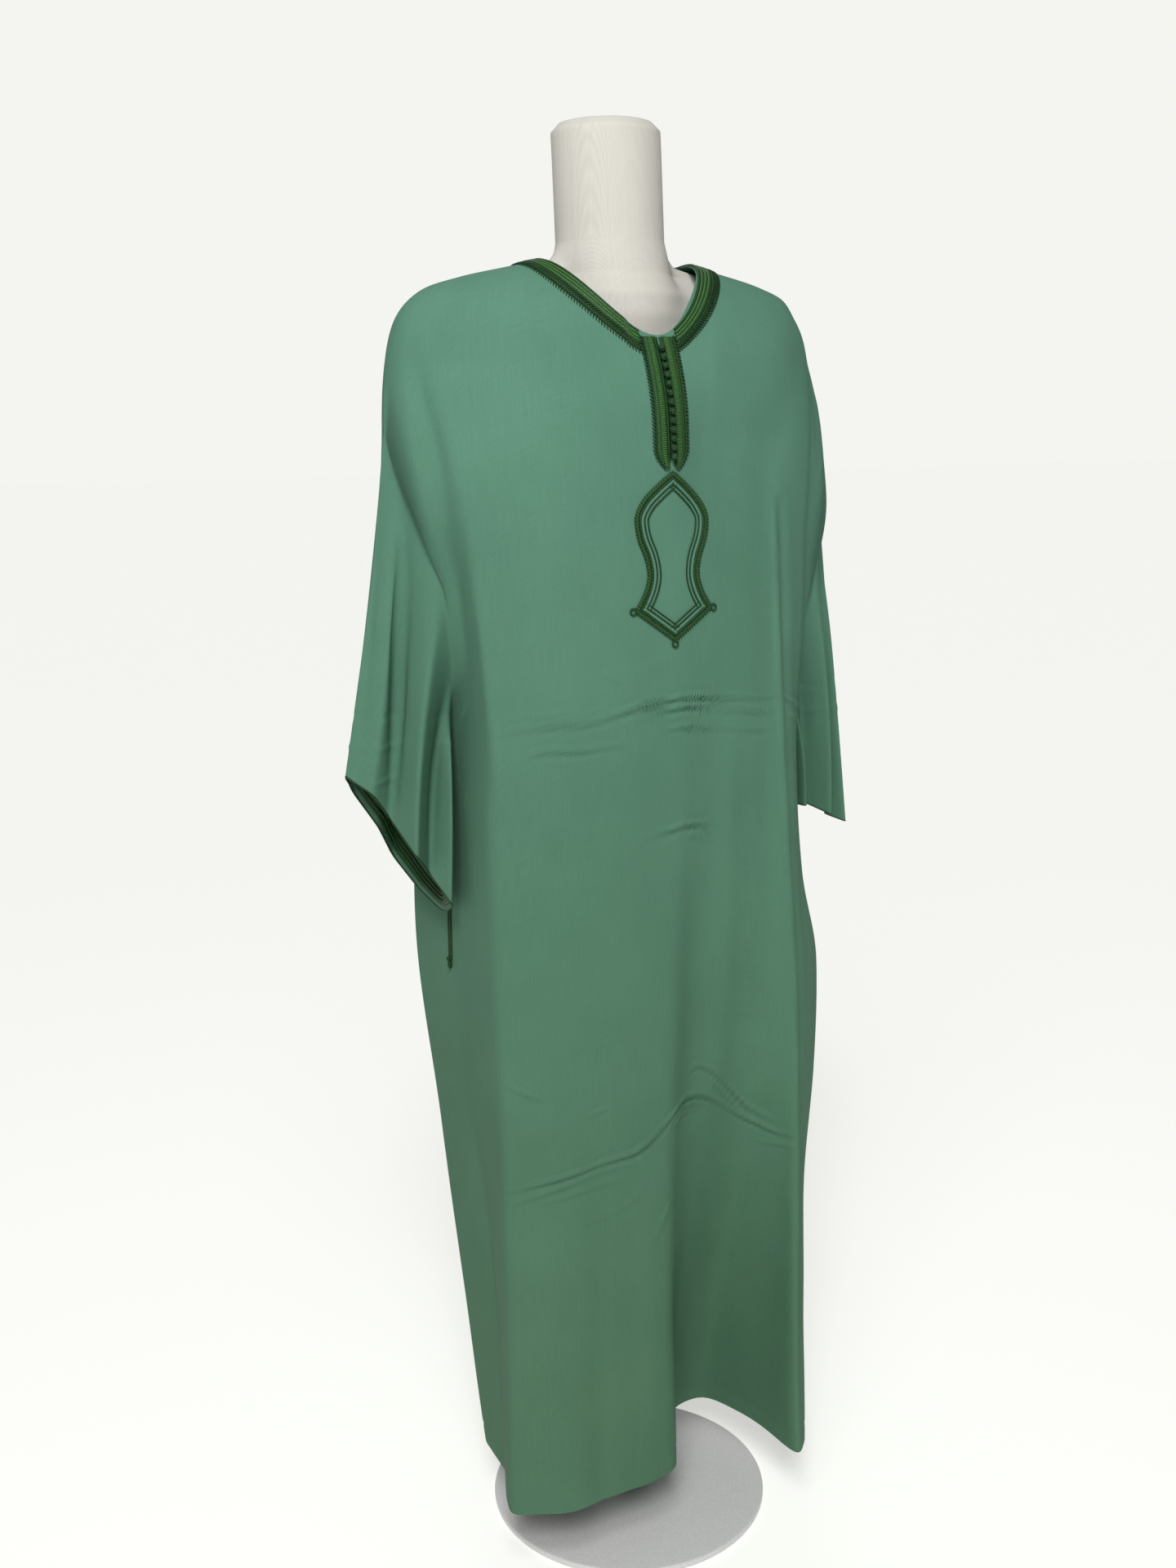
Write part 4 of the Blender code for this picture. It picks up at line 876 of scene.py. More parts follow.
# each sleeve's folds round its ring: share, then half width, y and height of the middle ring and of the cuff
sleeve = {"rows": 76, "rounding": 0.026, "folds": {
    -1: (
        (0.00, (0.290, 0.004, 1.125), (0.322, 0.010, 0.950)),
        (0.10, (0.272, -0.030, 1.095), (0.300, -0.012, 0.932)),
        (0.18, (0.262, -0.006, 1.060), (0.276, 0.006, 0.900)),
        (0.27, (0.262, -0.062, 1.020), (0.264, -0.046, 0.866)),
        (0.37, (0.232, -0.010, 0.990), (0.240, -0.014, 0.838)),
        (0.45, (0.222, -0.064, 0.960), (0.224, -0.046, 0.806)),
        (0.51, (0.214, 0.000, 0.910), (0.218, 0.004, 0.785)),
        (0.58, (0.220, 0.036, 0.960), (0.234, 0.040, 0.806)),
        (0.68, (0.244, 0.062, 1.010), (0.260, 0.052, 0.846)),
        (0.78, (0.258, 0.034, 1.060), (0.282, 0.030, 0.886)),
        (0.90, (0.278, 0.050, 1.100), (0.306, 0.042, 0.926)),
        (1.00, (0.290, 0.004, 1.125), (0.322, 0.010, 0.950)),
    ),
    1: (
        (0.00, (0.286, 0.004, 1.095), (0.306, 0.010, 0.838)),
        (0.10, (0.272, -0.030, 1.075), (0.300, -0.024, 0.838)),
        (0.18, (0.262, -0.006, 1.048), (0.280, -0.002, 0.847)),
        (0.27, (0.260, -0.056, 1.020), (0.266, -0.044, 0.854)),
        (0.37, (0.234, -0.012, 0.998), (0.246, -0.012, 0.866)),
        (0.45, (0.224, -0.056, 0.978), (0.231, -0.040, 0.868)),
        (0.51, (0.217, 0.000, 0.945), (0.225, 0.004, 0.868)),
        (0.58, (0.226, 0.036, 0.975), (0.240, 0.038, 0.868)),
        (0.68, (0.244, 0.060, 1.010), (0.260, 0.052, 0.862)),
        (0.78, (0.258, 0.034, 1.044), (0.280, 0.030, 0.854)),
        (0.90, (0.276, 0.050, 1.080), (0.299, 0.042, 0.846)),
        (1.00, (0.286, 0.004, 1.095), (0.306, 0.010, 0.838)),
    ),
}}

# creases on the sleeves: points (y, height), half width, height of the line
sleeveCreases = (
    ([(-0.050, 0.985), (-0.010, 0.978), (0.040, 0.990)], 0.0034, 0.0004),
    ([(-0.020, 0.940), (0.010, 0.946), (0.034, 0.944)], 0.0030, 0.0005),
    ([(-0.060, 1.010), (-0.020, 1.016), (0.020, 1.012)], 0.0036, -0.0003),
)


def sleeveGrid(side, armhole):
    count = len(armhole)
    folds = sleeve["folds"][side]
    shares = np.array([row[0] for row in folds])
    rings = []
    for which in (1, 2):
        corners = np.array([row[which] for row in folds])[:, None, :]
        corners = np.repeat(corners, count, axis=1)
        ring = roundedLines(shares, corners, np.arange(count) / count, sleeve["rounding"])
        rings.append(ring * (side, 1, 1))
    down = np.linspace(0, 1, sleeve["rows"] + 1)
    return np.array([armhole * (1 - v) ** 2 + rings[0] * 2 * v * (1 - v) + rings[1] * v**2 for v in down])


sides = (("right", -1, 0), ("left", 1, -1))  # name, way of x, and the body's edge column on that side
bodies, sleeves = {}, {}
armholeRows = fallRows()[1]
for isFront, outward in ((True, -1), (False, 1)):
    grid, share = bodyGrid(isFront)
    grid = grid + gridNormals(grid, outward) * bodyRelief(isFront, grid, share)[..., None]
    bodies[isFront] = grid
for sideName, side, edge in sides:
    rows = armholeRows + 1
    armhole = np.concatenate([bodies[True][:rows, edge], bodies[False][rows - 2:0:-1, edge]])
    grid = sleeveGrid(side, armhole)
    relief = creaseHeights(sleeveCreases, grid[..., 1:])
    down = np.linspace(0, 1, len(grid))[:, None]
    relief *= smoothStep(0, 0.3, down)
    window = smoothStep(0, 0.25, down) * smoothStep(0, 0.12, 1 - down)
    relief += longFoldDepths(sleeveFolds[side], grid) * window
    sleeves[sideName] = grid + gridNormals(grid, side, True) * relief[..., None]
print("cloth draped")

clothNormals = {isFront: gridNormals(bodies[isFront], -1 if isFront else 1) for isFront in bodies}
for edge in (0, -1):
    together = unit(clothNormals[True][:, edge] + clothNormals[False][:, edge])
    for isFront in bodies:
        clothNormals[isFront][armholeRows:, edge] = together[armholeRows:]

# at each armhole the body and the sleeve are shaded as one cloth over this many rows and columns
easing = 6
sleeveNormals = {}
for sideName, side, edge in sides:
    normals = gridNormals(sleeves[sideName], side, True)
    bodyRing = np.concatenate([clothNormals[True][:armholeRows + 1, edge],
                               clothNormals[False][armholeRows - 1:0:-1, edge]])
    shared = unit(bodyRing + normals[0])
    for row in range(easing):
        part = 1 - row / easing
        normals[row] = unit(normals[row] * (1 - part) + shared * part)
    sleeveNormals[sideName] = normals
    for isFront, ring in ((True, shared[:armholeRows + 1]),
                          (False, np.concatenate([shared[:1], shared[:armholeRows - 1:-1]]))):
        columns = range(easing) if edge == 0 else range(-1, -easing - 1, -1)
        for step, column in enumerate(columns):
            part = 1 - step / easing
            old = clothNormals[isFront][1:armholeRows, column]
            clothNormals[isFront][1:armholeRows, column] = unit(old * (1 - part) + ring[1:armholeRows] * part)

clothPieces = {}
for isFront, name, node in ((True, "robeFront", "front_panel"), (False, "robeBack", "back_panel")):
    grid = bodies[isFront]
    normals = clothNormals[isFront]
    piece = clothPiece(name, grid, normals, False, flatPlaces(grid), robe["cloth"], normals)
    clothPieces[name] = finishPiece(piece, finishes["sage"], "cloth", node)
for sideName, side, _ in sides:
    grid = sleeves[sideName]
    normals = sleeveNormals[sideName]
    name = "robeSleeve" + sideName.capitalize()
    piece = clothPiece(name, grid, normals, True, flatPlaces(grid), robe["cloth"], normals)
    clothPieces[name] = finishPiece(piece, finishes["sage"], "cloth", "sleeve_" + sideName)
print("robe made:", {piece.name: len(piece.data.polygons) * 2 for piece in clothPieces.values()})


# trim lies on the cloth: its places are found by casting rays at the front and back
class ClothFace:
    def __init__(self, grids, normals):
        points, ways, faces = [], [], []
        for isFront, grid in grids.items():
            rows, columns = grid.shape[:2]
            index = np.arange(rows * columns).reshape(rows, columns) + sum(len(p) for p in points)
            points.append((grid + normals[isFront] * robe["cloth"] / 2).reshape(-1, 3))
            ways.append(normals[isFront].reshape(-1, 3))
            quads = np.stack([index[:-1, :-1], index[:-1, 1:], index[1:, 1:], index[1:, :-1]], axis=-1)
            faces.append(quads.reshape(-1, 4))
        self.points = np.concatenate(points)
        self.ways = np.concatenate(ways)
        self.faces = np.concatenate(faces)
        faces = [tuple(map(int, face)) for face in self.faces]
        self.tree = BVHTree.FromPolygons([tuple(point) for point in self.points], faces)

    def hit(self, start, way):
        point, _, face, _ = self.tree.ray_cast(Vector(start), Vector(way))
        if point is None:
            return None
        corners = self.faces[face]
        point = np.array(point)
        weights = 1 / (np.linalg.norm(self.points[corners] - point, axis=1) + 1e-5)
        return point, unit((self.ways[corners] * weights[:, None]).sum(axis=0))

    def front(self, x, z):
        return self.hit((x, -1, z), (0, 1, 0))


clothFace = ClothFace(bodies, clothNormals)


# for each point of a path on the cloth: the ways along it, across it and up from the cloth
def framesAlong(points, ways, closed=False):
    if closed:
        along = unit(np.roll(points, -1, axis=0) - np.roll(points, 1, axis=0))
    else:
        along = unit(np.gradient(points, axis=0))
    ways = unit(ways - (ways * along).sum(axis=1, keepdims=True) * along)
    return along, np.cross(ways, along), ways


# the same path with its points an even step apart
def evenly(points, ways, step, closed=False):
    if closed:
        points, ways = np.vstack([points, points[:1]]), np.vstack([ways, ways[:1]])
    lengths = np.concatenate([[0], np.linalg.norm(np.diff(points, axis=0), axis=1).cumsum()])
    count = max(3, round(lengths[-1] / step) + (0 if closed else 1))
    places = np.linspace(0, lengths[-1], count, endpoint=not closed)
    read = lambda table: np.column_stack([np.interp(places, lengths, column) for column in table.T])
    return read(points), unit(read(ways))


# points and faces of a cord laid along a path, raised from the cloth by lift
def tube(points, ways, radius, sides=6, closed=False, lift=0.0, flatten=1.0):
    _, across, up = framesAlong(points, ways, closed)
    middle = points + up * lift
    turns = np.arange(sides) / sides * 2 * math.pi
    radius = np.broadcast_to(radius, len(points))[:, None, None]
    rings = middle[:, None] + radius * (
        across[:, None] * np.cos(turns)[None, :, None] + flatten * up[:, None] * np.sin(turns)[None, :, None]
    )
    count = len(points)
    index = np.arange(count * sides).reshape(count, sides)
    ahead = np.roll(index, -1, axis=0) if closed else index[1:]
    here = index if closed else index[:-1]
    faces = np.stack([here, np.roll(here, -1, axis=1), np.roll(ahead, -1, axis=1), ahead], axis=-1)
    faces = [tuple(f) for f in faces.reshape(-1, 4)]
    if not closed:
        faces += [tuple(index[0][::-1]), tuple(index[-1])]
    return rings.reshape(-1, 3), faces


# points and faces of one small shape, modelled once
def templateOf(maker):
    deselectAll()
    maker()
    made = bpy.context.object
    points = np.array([made.matrix_basis @ v.co for v in made.data.vertices])
    faces = [tuple(p.vertices) for p in made.data.polygons]
    mesh = made.data
    bpy.data.objects.remove(made)
    bpy.data.meshes.remove(mesh)
    return points, faces


def stitchShape():
    bpy.ops.mesh.primitive_uv_sphere_add(segments=6, ring_count=4, radius=0.5)


stitch = templateOf(stitchShape)


# a row of small slanted stitches; size is length, width, height; tilt in degrees from the path
def stitches(points, ways, size, tilt, closed=False, lift=0.0):
    along, across, up = framesAlong(points, ways, closed)
    turn = np.radians(np.broadcast_to(tilt, len(points)))[:, None]
    longWay = along * np.cos(turn) + across * np.sin(turn)
    wideWay = across * np.cos(turn) - along * np.sin(turn)
    middle = points + up * lift
    shape, faces = stitch
    placed = (
        middle[:, None]
        + longWay[:, None] * shape[None, :, :1] * size[0]
        + wideWay[:, None] * shape[None, :, 1:2] * size[1]
        + up[:, None] * shape[None, :, 2:] * size[2]
    )
    allFaces = [tuple(i + row * len(shape) for i in f) for row in range(len(points)) for f in faces]
    return placed.reshape(-1, 3), allFaces


# one piece from several sets of points and faces
def joined(name, parts):
    points, faces, start = [], [], 0
    for partPoints, partFaces in parts:
        points.append(partPoints)
        faces += [tuple(i + start for i in f) for f in partFaces]
        start += len(partPoints)
    return meshPiece(name, np.concatenate(points), faces)


cordStep = 0.0022


# points and faces of a cord, or of a row of stitches, laid evenly along a path
def cordAlong(path, radius, sides, step=cordStep, closed=False, **more):
    return tube(*evenly(*path, step, closed), radius, sides, closed, **more)


def stitchesAlong(path, step, size, tilt, lift, closed=False):
    return stitches(*evenly(*path, step, closed), size, tilt, closed, lift=lift)


def trimPiece(name, parts, finish, *nodes):
    return finishPiece(joined(name, parts), finishes[finish], "braid", *nodes)


# neck braid: from the edge outward, dark cords with light ones between them, then looped rows:
# distance from the edge, tilt, step, size of a loop and its lift from the cloth
neckBraid = {
    "base": (0.0006, 0.0240, 0.0011),
    "darkCords": (0.0020, 0.0068, 0.0106, 0.0146),
    "darkRadius": 0.0016,
    "darkLift": 0.0012,
    "brightCords": (0.0048, 0.0087, 0.0126),
    "brightRadius": 0.0008,
    "brightLift": 0.0018,
    "stitchRows": (
        (0.0178, 50, 0.0034, (0.0054, 0.0017, 0.0023), 0.0014),
        (0.0218, -50, 0.0034, (0.0054, 0.0017, 0.0023), 0.0014),
        (0.0256, -50, 0.0037, (0.0056, 0.0016, 0.0020), 0.0010),
    ),
    "endTurn": 0.35,
    "sides": 150,
}


# paths round the neck on the cloth, one for each distance from the edge
def neckPaths():
    firstTurn = math.asin(placket["halfWidth"] / robe["neckHalfWidth"])
    turns = np.linspace(firstTurn, 2 * math.pi - firstTurn, neckBraid["sides"])
    distances = np.arange(0.0, 0.0305, 0.0005)
    table, wayTable = [], []
    for turn in turns:
        depth = robe["neckFrontDepth"] if math.cos(turn) > 0 else robe["neckBackDepth"]
        edge = np.array([robe["neckHalfWidth"] * math.sin(turn), -depth * math.cos(turn)])
        beside = max(0.0, 1 - (min(turn, 2 * math.pi - turn) - firstTurn) / neckBraid["endTurn"])
        sideways = math.sin(turn) / robe["neckHalfWidth"] * (1 - beside)
        away = unit(np.array([sideways, -math.cos(turn) / depth]))
        hits = []
        for reach in np.linspace(0.0004, 0.06, 60):
            place = edge + away * reach
            found = clothFace.hit((place[0], place[1] + 1e-5, 2), (0, 0, -1))
            if found and found[0][2] > robe["underarmHeight"]:
                hits.append(found)
        points = np.array([h[0] for h in hits])
        ways = np.array([h[1] for h in hits])
        lengths = np.concatenate([[0], np.linalg.norm(np.diff(points, axis=0), axis=1).cumsum()])
        table.append([[np.interp(d, lengths, column) for column in points.T] for d in distances])
        wayTable.append([[np.interp(d, lengths, column) for column in ways.T] for d in distances])
    table, wayTable = np.array(table), unit(np.array(wayTable))

    def at(distance):
        near = int(np.clip(distance / 0.0005, 0, len(distances) - 2))
        part = distance / 0.0005 - near
        points = table[:, near] * (1 - part) + table[:, near + 1] * part
        return points, unit(wayTable[:, near] * (1 - part) + wayTable[:, near + 1] * part)

    return at


placket = {
    "top": 1.4030,
    "length": 0.1340,
    "halfWidth": 0.0215,
    "slot": 0.0046,
    "endShare": 0.16,
    "endNarrow": 0.62,
    # base: the dark braid's strip, carried in to 0.8 mm from the middle, where it is painted shade in the gap
    # under the knots
    "base": (0.0008, 0.0182, 0.0008),
    "band": (0.0048, 0.0168, 0.0014),
    "ribStep": 0.0023,
    "ribLift": 0.0017,
    "ribs": ((0.0088, (0.0074, 0.0010, 0.0012)), (0.0150, (0.0030, 0.0007, 0.0008))),
    "cords": ((0.0044, 0.0009), (0.0131, 0.0007), (0.0172, 0.0009)),
    "cordLift": 0.0016,
    "loopPlace": 0.0197,
    "loopSize": (0.0064, 0.0016, 0.0024),
    "loopStep": 0.0037,
    "loopLift": 0.0012,
    "knots": 13,
    "knotTop": 1.390,
    "knotPitch": 0.0090833,
    "knotRadius": 0.0040,
}


# points and ways on the front of the cloth at (x, height) places
def frontPath(places):
    hits = [clothFace.front(x, z) for x, z in places]
    return np.array([h[0] for h in hits]), np.array([h[1] for h in hits])


# a closed low strip between two paths, crowned by height
def stripBetween(left, leftWays, right, rightWays, height):
    shares = np.linspace(0, 1, 7)
    crown = height * (1 - (2 * shares - 1) ** 4)
    across = shares[None, :, None]
    low = left[:, None] * (1 - across) + right[:, None] * across
    ways = unit(leftWays[:, None] * (1 - across) + rightWays[:, None] * across)
    top = low + ways * (0.0003 + crown)[None, :, None]
    bottom = low + ways * 0.0002
    rows, columns = top.shape[:2]
    index = np.arange(rows * columns).reshape(rows, columns)
    shift = rows * columns
    quads = np.stack([index[:-1, :-1], index[:-1, 1:], index[1:, 1:], index[1:, :-1]], axis=-1).reshape(-1, 4)
    faces = [tuple(f) for f in quads] + [tuple(f[::-1]) for f in quads + shift]
    border = list(index[0]) + list(index[1:, -1]) + list(index[-1, -2::-1]) + list(index[-2:0:-1, 0])
    for a, b in zip(border, border[1:] + border[:1]):
        faces.append((b, a, a + shift, b + shift))
    return np.concatenate([top.reshape(-1, 3), bottom.reshape(-1, 3)]), faces


neckAt = neckPaths()
low, high, crown = neckBraid["base"]
darkParts = [stripBetween(*neckAt(low), *neckAt(high), crown)]
for place in neckBraid["darkCords"]:
    darkParts.append(cordAlong(neckAt(place), neckBraid["darkRadius"], 8, lift=neckBraid["darkLift"]))
for place, tilt, step, size, lift in neckBraid["stitchRows"]:
    darkParts.append(stitchesAlong(neckAt(place), step, size, tilt, lift))
brightParts = []
for place in neckBraid["brightCords"]:
    brightParts.append(cordAlong(neckAt(place), neckBraid["brightRadius"], 7, lift=neckBraid["brightLift"]))
trimPiece("neckBraidDark", darkParts, "dark", "neck_braid")
trimPiece("neckBraidBright", brightParts, "bright")
print("neck braid made")


def placketHalf(down):
    end = np.maximum(0.0, (down - (1 - placket["endShare"])) / placket["endShare"])
    return placket["halfWidth"] * (1 - placket["endNarrow"] * end**2)


# a path down the placket, this far from the middle, drawn in with the rounded end
def placketPath(side, place):
    down = np.linspace(0, 1, 70)
    half = placketHalf(down)
    slot = placket["slot"]
    x = side * (slot + (half - slot) * (place - slot) / (placket["halfWidth"] - slot))
    z = placket["top"] - down * placket["length"]
    return frontPath(zip(x, z))


for sideName, side, _ in sides:
    strips = []
    # the first strip is the dark base: partly braid, and partly painted shade under the knots
    for low, high, crown in (placket["base"], placket["band"]):
        strips.append(stripBetween(*placketPath(side, low), *placketPath(side, high), crown))
    ribs = [
        stitchesAlong(placketPath(side, place), placket["ribStep"], size, 90 - 8 * side, placket["ribLift"])
        for place, size in placket["ribs"]
    ]
    cords = [
        cordAlong(placketPath(side, place), radius, 7, lift=placket["cordLift"])
        for place, radius in placket["cords"]
    ]
    loops = stitchesAlong(placketPath(side, placket["loopPlace"]), placket["loopStep"], placket["loopSize"],
                          50, placket["loopLift"])
    name = "placket" + sideName.capitalize()
    trimPiece(name + "Dark", [strips[0], *cords, loops], "dark", "placket_braid_" + sideName)
    trimPiece(name + "Light", [strips[1]], "light")
    trimPiece(name + "Ribs", ribs, "bright")


# a tied ball: a core with three bands wound round it
def knotShape():
    radius = placket["knotRadius"]
    bpy.ops.mesh.primitive_ico_sphere_add(subdivisions=2, radius=radius * 0.80)
    core = bpy.context.object
    for tilt, swing in ((0, 0), (62, 0), (62, 120), (62, 240)):
        bpy.ops.mesh.primitive_torus_add(
            major_segments=16, minor_segments=6, major_radius=radius * 0.70, minor_radius=radius * 0.30,
            rotation=(math.radians(tilt), 0, math.radians(swing)),
        )
        band = bpy.context.object
        activate(band)
        core.select_set(True)
        bpy.context.view_layer.objects.active = core
        bpy.ops.object.join()
    bpy.ops.object.transform_apply(location=True, rotation=True, scale=True)


knotTemplate = templateOf(knotShape)
for number in range(placket["knots"]):
    z = placket["knotTop"] - number * placket["knotPitch"]
    point, way = clothFace.front(0.0, z)
    middle = point + way * (placket["knotRadius"] + 0.0004)
    turn = 0.7 * number  # each knot is tied a little differently
    spin = np.array([[math.cos(turn), 0, math.sin(turn)], [0, 1, 0], [-math.sin(turn), 0, math.cos(turn)]])
    points = knotTemplate[0] @ spin.T * (1.0 + 0.05 * math.sin(number * 2.3)) + middle
    name = f"knot_{number + 1:02d}"
    knot = meshPiece("tied" + name.capitalize(), points, knotTemplate[1])
    finishPiece(knot, finishes["dark"], "knot", name)
print("placket made")


# ornament: looped braid, cord, padded roll of the cloth and two pipings, all one inside the other
ornament = {
    "top": 1.2615,
    "height": 0.169,
    "shape": ((0.000, 0.0030), (0.011, 0.0170), (0.026, 0.0325), (0.045, 0.0412), (0.064, 0.0385),
              (0.084, 0.0308), (0.101, 0.0280), (0.119, 0.0325), (0.138, 0.0435)),
    "loopRows": ((-0.0022, 50), (0.0010, -50)),
    "loopSize": (0.0044, 0.0015, 0.0022),
    "loopStep": 0.0034,
    "loopLift": 0.0014,
    "under": (-0.0005, 0.0024),
    "cord": (0.0032, 0.0014),
    "cordStep": 0.0020,
    "rolls": ((0.0060, 0.0019), (0.0105, 0.0012)),
    "pipings": (0.0085, 0.0125),
    "pipingRadius": 0.0009,
    "pipingLift": 0.0007,
    "cornerLoop": 0.0034,
    "cornerCord": 0.0011,
    "cornerSides": 14,
    "cornerGap": 0.0022,
    "cordLift": 0.0010,
}


# points round the ornament, x and height, moved in from its outer edge
def ornamentOutline(inset, count=260):
    drops = np.linspace(0, ornament["shape"][-1][0], 60)
    halfWidths = smoothRead(ornament["shape"], drops)[:, 0]
    side = np.column_stack([halfWidths, ornament["top"] - drops])
    tip = (0.0, ornament["top"] - ornament["height"])
    ring = np.vstack([[(0.0, ornament["top"] + 0.002)], side, [tip], side[::-1] * (-1, 1)])
    closed = np.vstack([ring, ring[:1]])
    lengths = np.concatenate([[0], np.linalg.norm(np.diff(closed, axis=0), axis=1).cumsum()])
    places = np.linspace(0, lengths[-1], count, endpoint=False)
    even = np.column_stack([np.interp(places, lengths, column) for column in closed.T])
    along = np.roll(even, -1, axis=0) - np.roll(even, 1, axis=0)
    inward = unit(np.column_stack([along[:, 1], -along[:, 0]]))
    if ((even.mean(axis=0) - even) * inward).sum() < 0:
        inward = -inward
    return even + inward * inset


def ornamentPath(inset):
    return frontPath(ornamentOutline(inset))


# one small loop of cord, pointing away from its corner
def cornerLoop(x, z, outX, outZ):
    radius = ornament["cornerLoop"]
    reach = radius + ornament["cornerGap"]
    turns = np.arange(ornament["cornerSides"]) / ornament["cornerSides"] * 2 * math.pi
    places = zip(x + outX * reach + radius * np.cos(turns), z + outZ * reach + radius * np.sin(turns))
    return tube(*frontPath(places), ornament["cornerCord"], 6, closed=True, lift=ornament["cordLift"])


inset, radius = ornament["under"]
under = cordAlong(ornamentPath(inset), radius, 8, closed=True, lift=0.0004, flatten=0.6)
trimPiece("ornamentUnderCord", [under], "light")
darkParts = []
for inset, tilt in ornament["loopRows"]:
    darkParts.append(stitchesAlong(ornamentPath(inset), ornament["loopStep"], ornament["loopSize"], tilt,
                                   ornament["loopLift"], closed=True))
inset, radius = ornament["cord"]
cord = cordAlong(ornamentPath(inset), radius, 7, ornament["cordStep"], True, lift=ornament["cordLift"])
darkParts.append(cord)
cornerDrop, cornerHalf = ornament["shape"][-1]
for way in (-1, 1):
    darkParts.append(cornerLoop(way * cornerHalf, ornament["top"] - cornerDrop, 0.9 * way, -0.1))
darkParts.append(cornerLoop(0.0, ornament["top"] - ornament["height"], 0.0, -1.0))
trimPiece("ornamentBraid", darkParts, "dark", "ornament_braid")
for number, inset in enumerate(ornament["pipings"], 1):
    piping = cordAlong(ornamentPath(inset), ornament["pipingRadius"], 7, closed=True,
                       lift=ornament["pipingLift"])
    trimPiece(f"ornamentPiping{number}", [piping], "dark", f"ornament_piping_{number}")
rollParts = [
    cordAlong(ornamentPath(inset), radius, 8, closed=True, lift=0.0002, flatten=0.8)
    for inset, radius in ornament["rolls"]
]
rolls = joined("ornamentRolls", rollParts)
layer = rolls.data.uv_layers.new(name="cut")
for loop in rolls.data.loops:
    place = rolls.data.vertices[loop.vertex_index].co
    layer.data[loop.index].uv = (place.x, place.z)
finishPiece(rolls, finishes["sage"], "cloth")
print("ornament made")


# braid down each pocket slit, with a knot at its foot
slit = {"top": 0.915, "length": 0.19, "halfWidth": 0.0024, "cordRadius": 0.0014, "cordLift": 0.0010,
        "stitch": (0.0040, 0.0014, 0.0020), "stitchTilt": 55, "stitchLift": 0.0016, "knotRadius": 0.0034}
for sideName, side, _ in sides:
    heights = np.linspace(slit["top"], slit["top"] - slit["length"], 60)
    places = seamPlace(True, side, heights)
    paths = []
    for shift in (-slit["halfWidth"], slit["halfWidth"], 0.0):
        hits = [clothFace.hit((side, y + shift, z), (-side, 0, 0)) for (x, y), z in zip(places, heights)]
        paths.append((np.array([h[0] for h in hits]), np.array([h[1] for h in hits])))
    darkParts = [cordAlong(path, slit["cordRadius"], 7, lift=slit["cordLift"]) for path in paths[:2]]
    points, ways = evenly(*paths[2], cordStep)
    darkParts.append(stitches(points, ways, slit["stitch"], slit["stitchTilt"], lift=slit["stitchLift"]))
    foot, footWay = points[-1], ways[-1]
    knotPoints = knotTemplate[0] * slit["knotRadius"] / placket["knotRadius"]
    tassel = knotPoints * (0.8, 0.8, 1.5) + foot + footWay * 0.0025 + (0, 0, -0.007)
    darkParts.append((knotPoints + foot + footWay * 0.003, knotTemplate[1]))
    darkParts.append((tassel, knotTemplate[1]))
    trimPiece("slitBraid" + sideName.capitalize(), darkParts, "dark", "slit_braid_" + sideName)


# braid inside each cuff and the cord on its edge
cuff = {"bandRows": (0.885, 0.975), "bandInside": 0.0014, "bandThickness": 0.0010, "edgeRadius": 0.0011,
        "cordShares": (0.12, 0.34, 0.56, 0.78), "cordInside": 0.0019, "cordRadius": 0.0009,
        "cordStep": 0.0030, "cordLift": 0.0004}
for sideName, side, _ in sides:
    grid = sleeves[sideName]
    normals = gridNormals(grid, side, True)

    def cuffRing(down, inside):
        row = down * (len(grid) - 1)
        low = min(int(row), len(grid) - 2)
        part = row - low
        points = grid[low] * (1 - part) + grid[low + 1] * part
        ways = unit(normals[low] * (1 - part) + normals[low + 1] * part)
        return points - ways * inside, -ways

    first, last = cuff["bandRows"]
    sideTitle = sideName.capitalize()
    bandGrid = np.array([cuffRing(down, cuff["bandInside"])[0] for down in np.linspace(first, last, 8)])
    band = clothPiece("cuffBand" + sideTitle, bandGrid, gridNormals(bandGrid, side, True), True,
                      flatPlaces(bandGrid), cuff["bandThickness"])
    finishPiece(band, finishes["dark"], "braid", "cuff_braid_" + sideName)
    cords = [
        cordAlong(cuffRing(first + (last - first) * share, cuff["cordInside"]), cuff["cordRadius"], 6,
                  cuff["cordStep"], True, lift=cuff["cordLift"])
        for share in cuff["cordShares"]
    ]
    trimPiece("cuffCords" + sideTitle, cords, "light")
    edgeCord = cordAlong(cuffRing(1.0, 0.0), cuff["edgeRadius"], 7, cuff["cordStep"], True)
    trimPiece("cuffEdge" + sideTitle, [edgeCord], "dark")
print("slits and cuffs made")


# dress form: height, half width, half depth, y of the middle, radius of the neck's root or 0 below it
dressForm = {"sides": 96, "blend": 6, "between": 5, "sections": (
    (0.800, 0.110, 0.074, 0.004, 0.000), (0.812, 0.138, 0.088, 0.004, 0.000),
    (0.860, 0.152, 0.096, 0.004, 0.000), (0.950, 0.150, 0.092, 0.004, 0.000),
    (1.060, 0.142, 0.086, 0.002, 0.000), (1.180, 0.158, 0.092, 0.000, 0.000),
    (1.290, 0.190, 0.094, 0.000, 0.000), (1.360, 0.208, 0.080, 0.000, 0.000),
    (1.400, 0.214, 0.066, 0.000, 0.072), (1.430, 0.215, 0.052, 0.000, 0.076),
    (1.452, 0.2065, 0.040, 0.000, 0.074), (1.466, 0.1785, 0.025, 0.000, 0.068),
    (1.474, 0.128, 0.018, 0.001, 0.065), (1.486, 0.072, 0.020, 0.002, 0.063),
    (1.510, 0.040, 0.020, 0.004, 0.059), (1.600, 0.040, 0.020, 0.009, 0.059),
    (1.624, 0.040, 0.020, 0.011, 0.059), (1.632, 0.040, 0.020, 0.011, 0.051),
)}


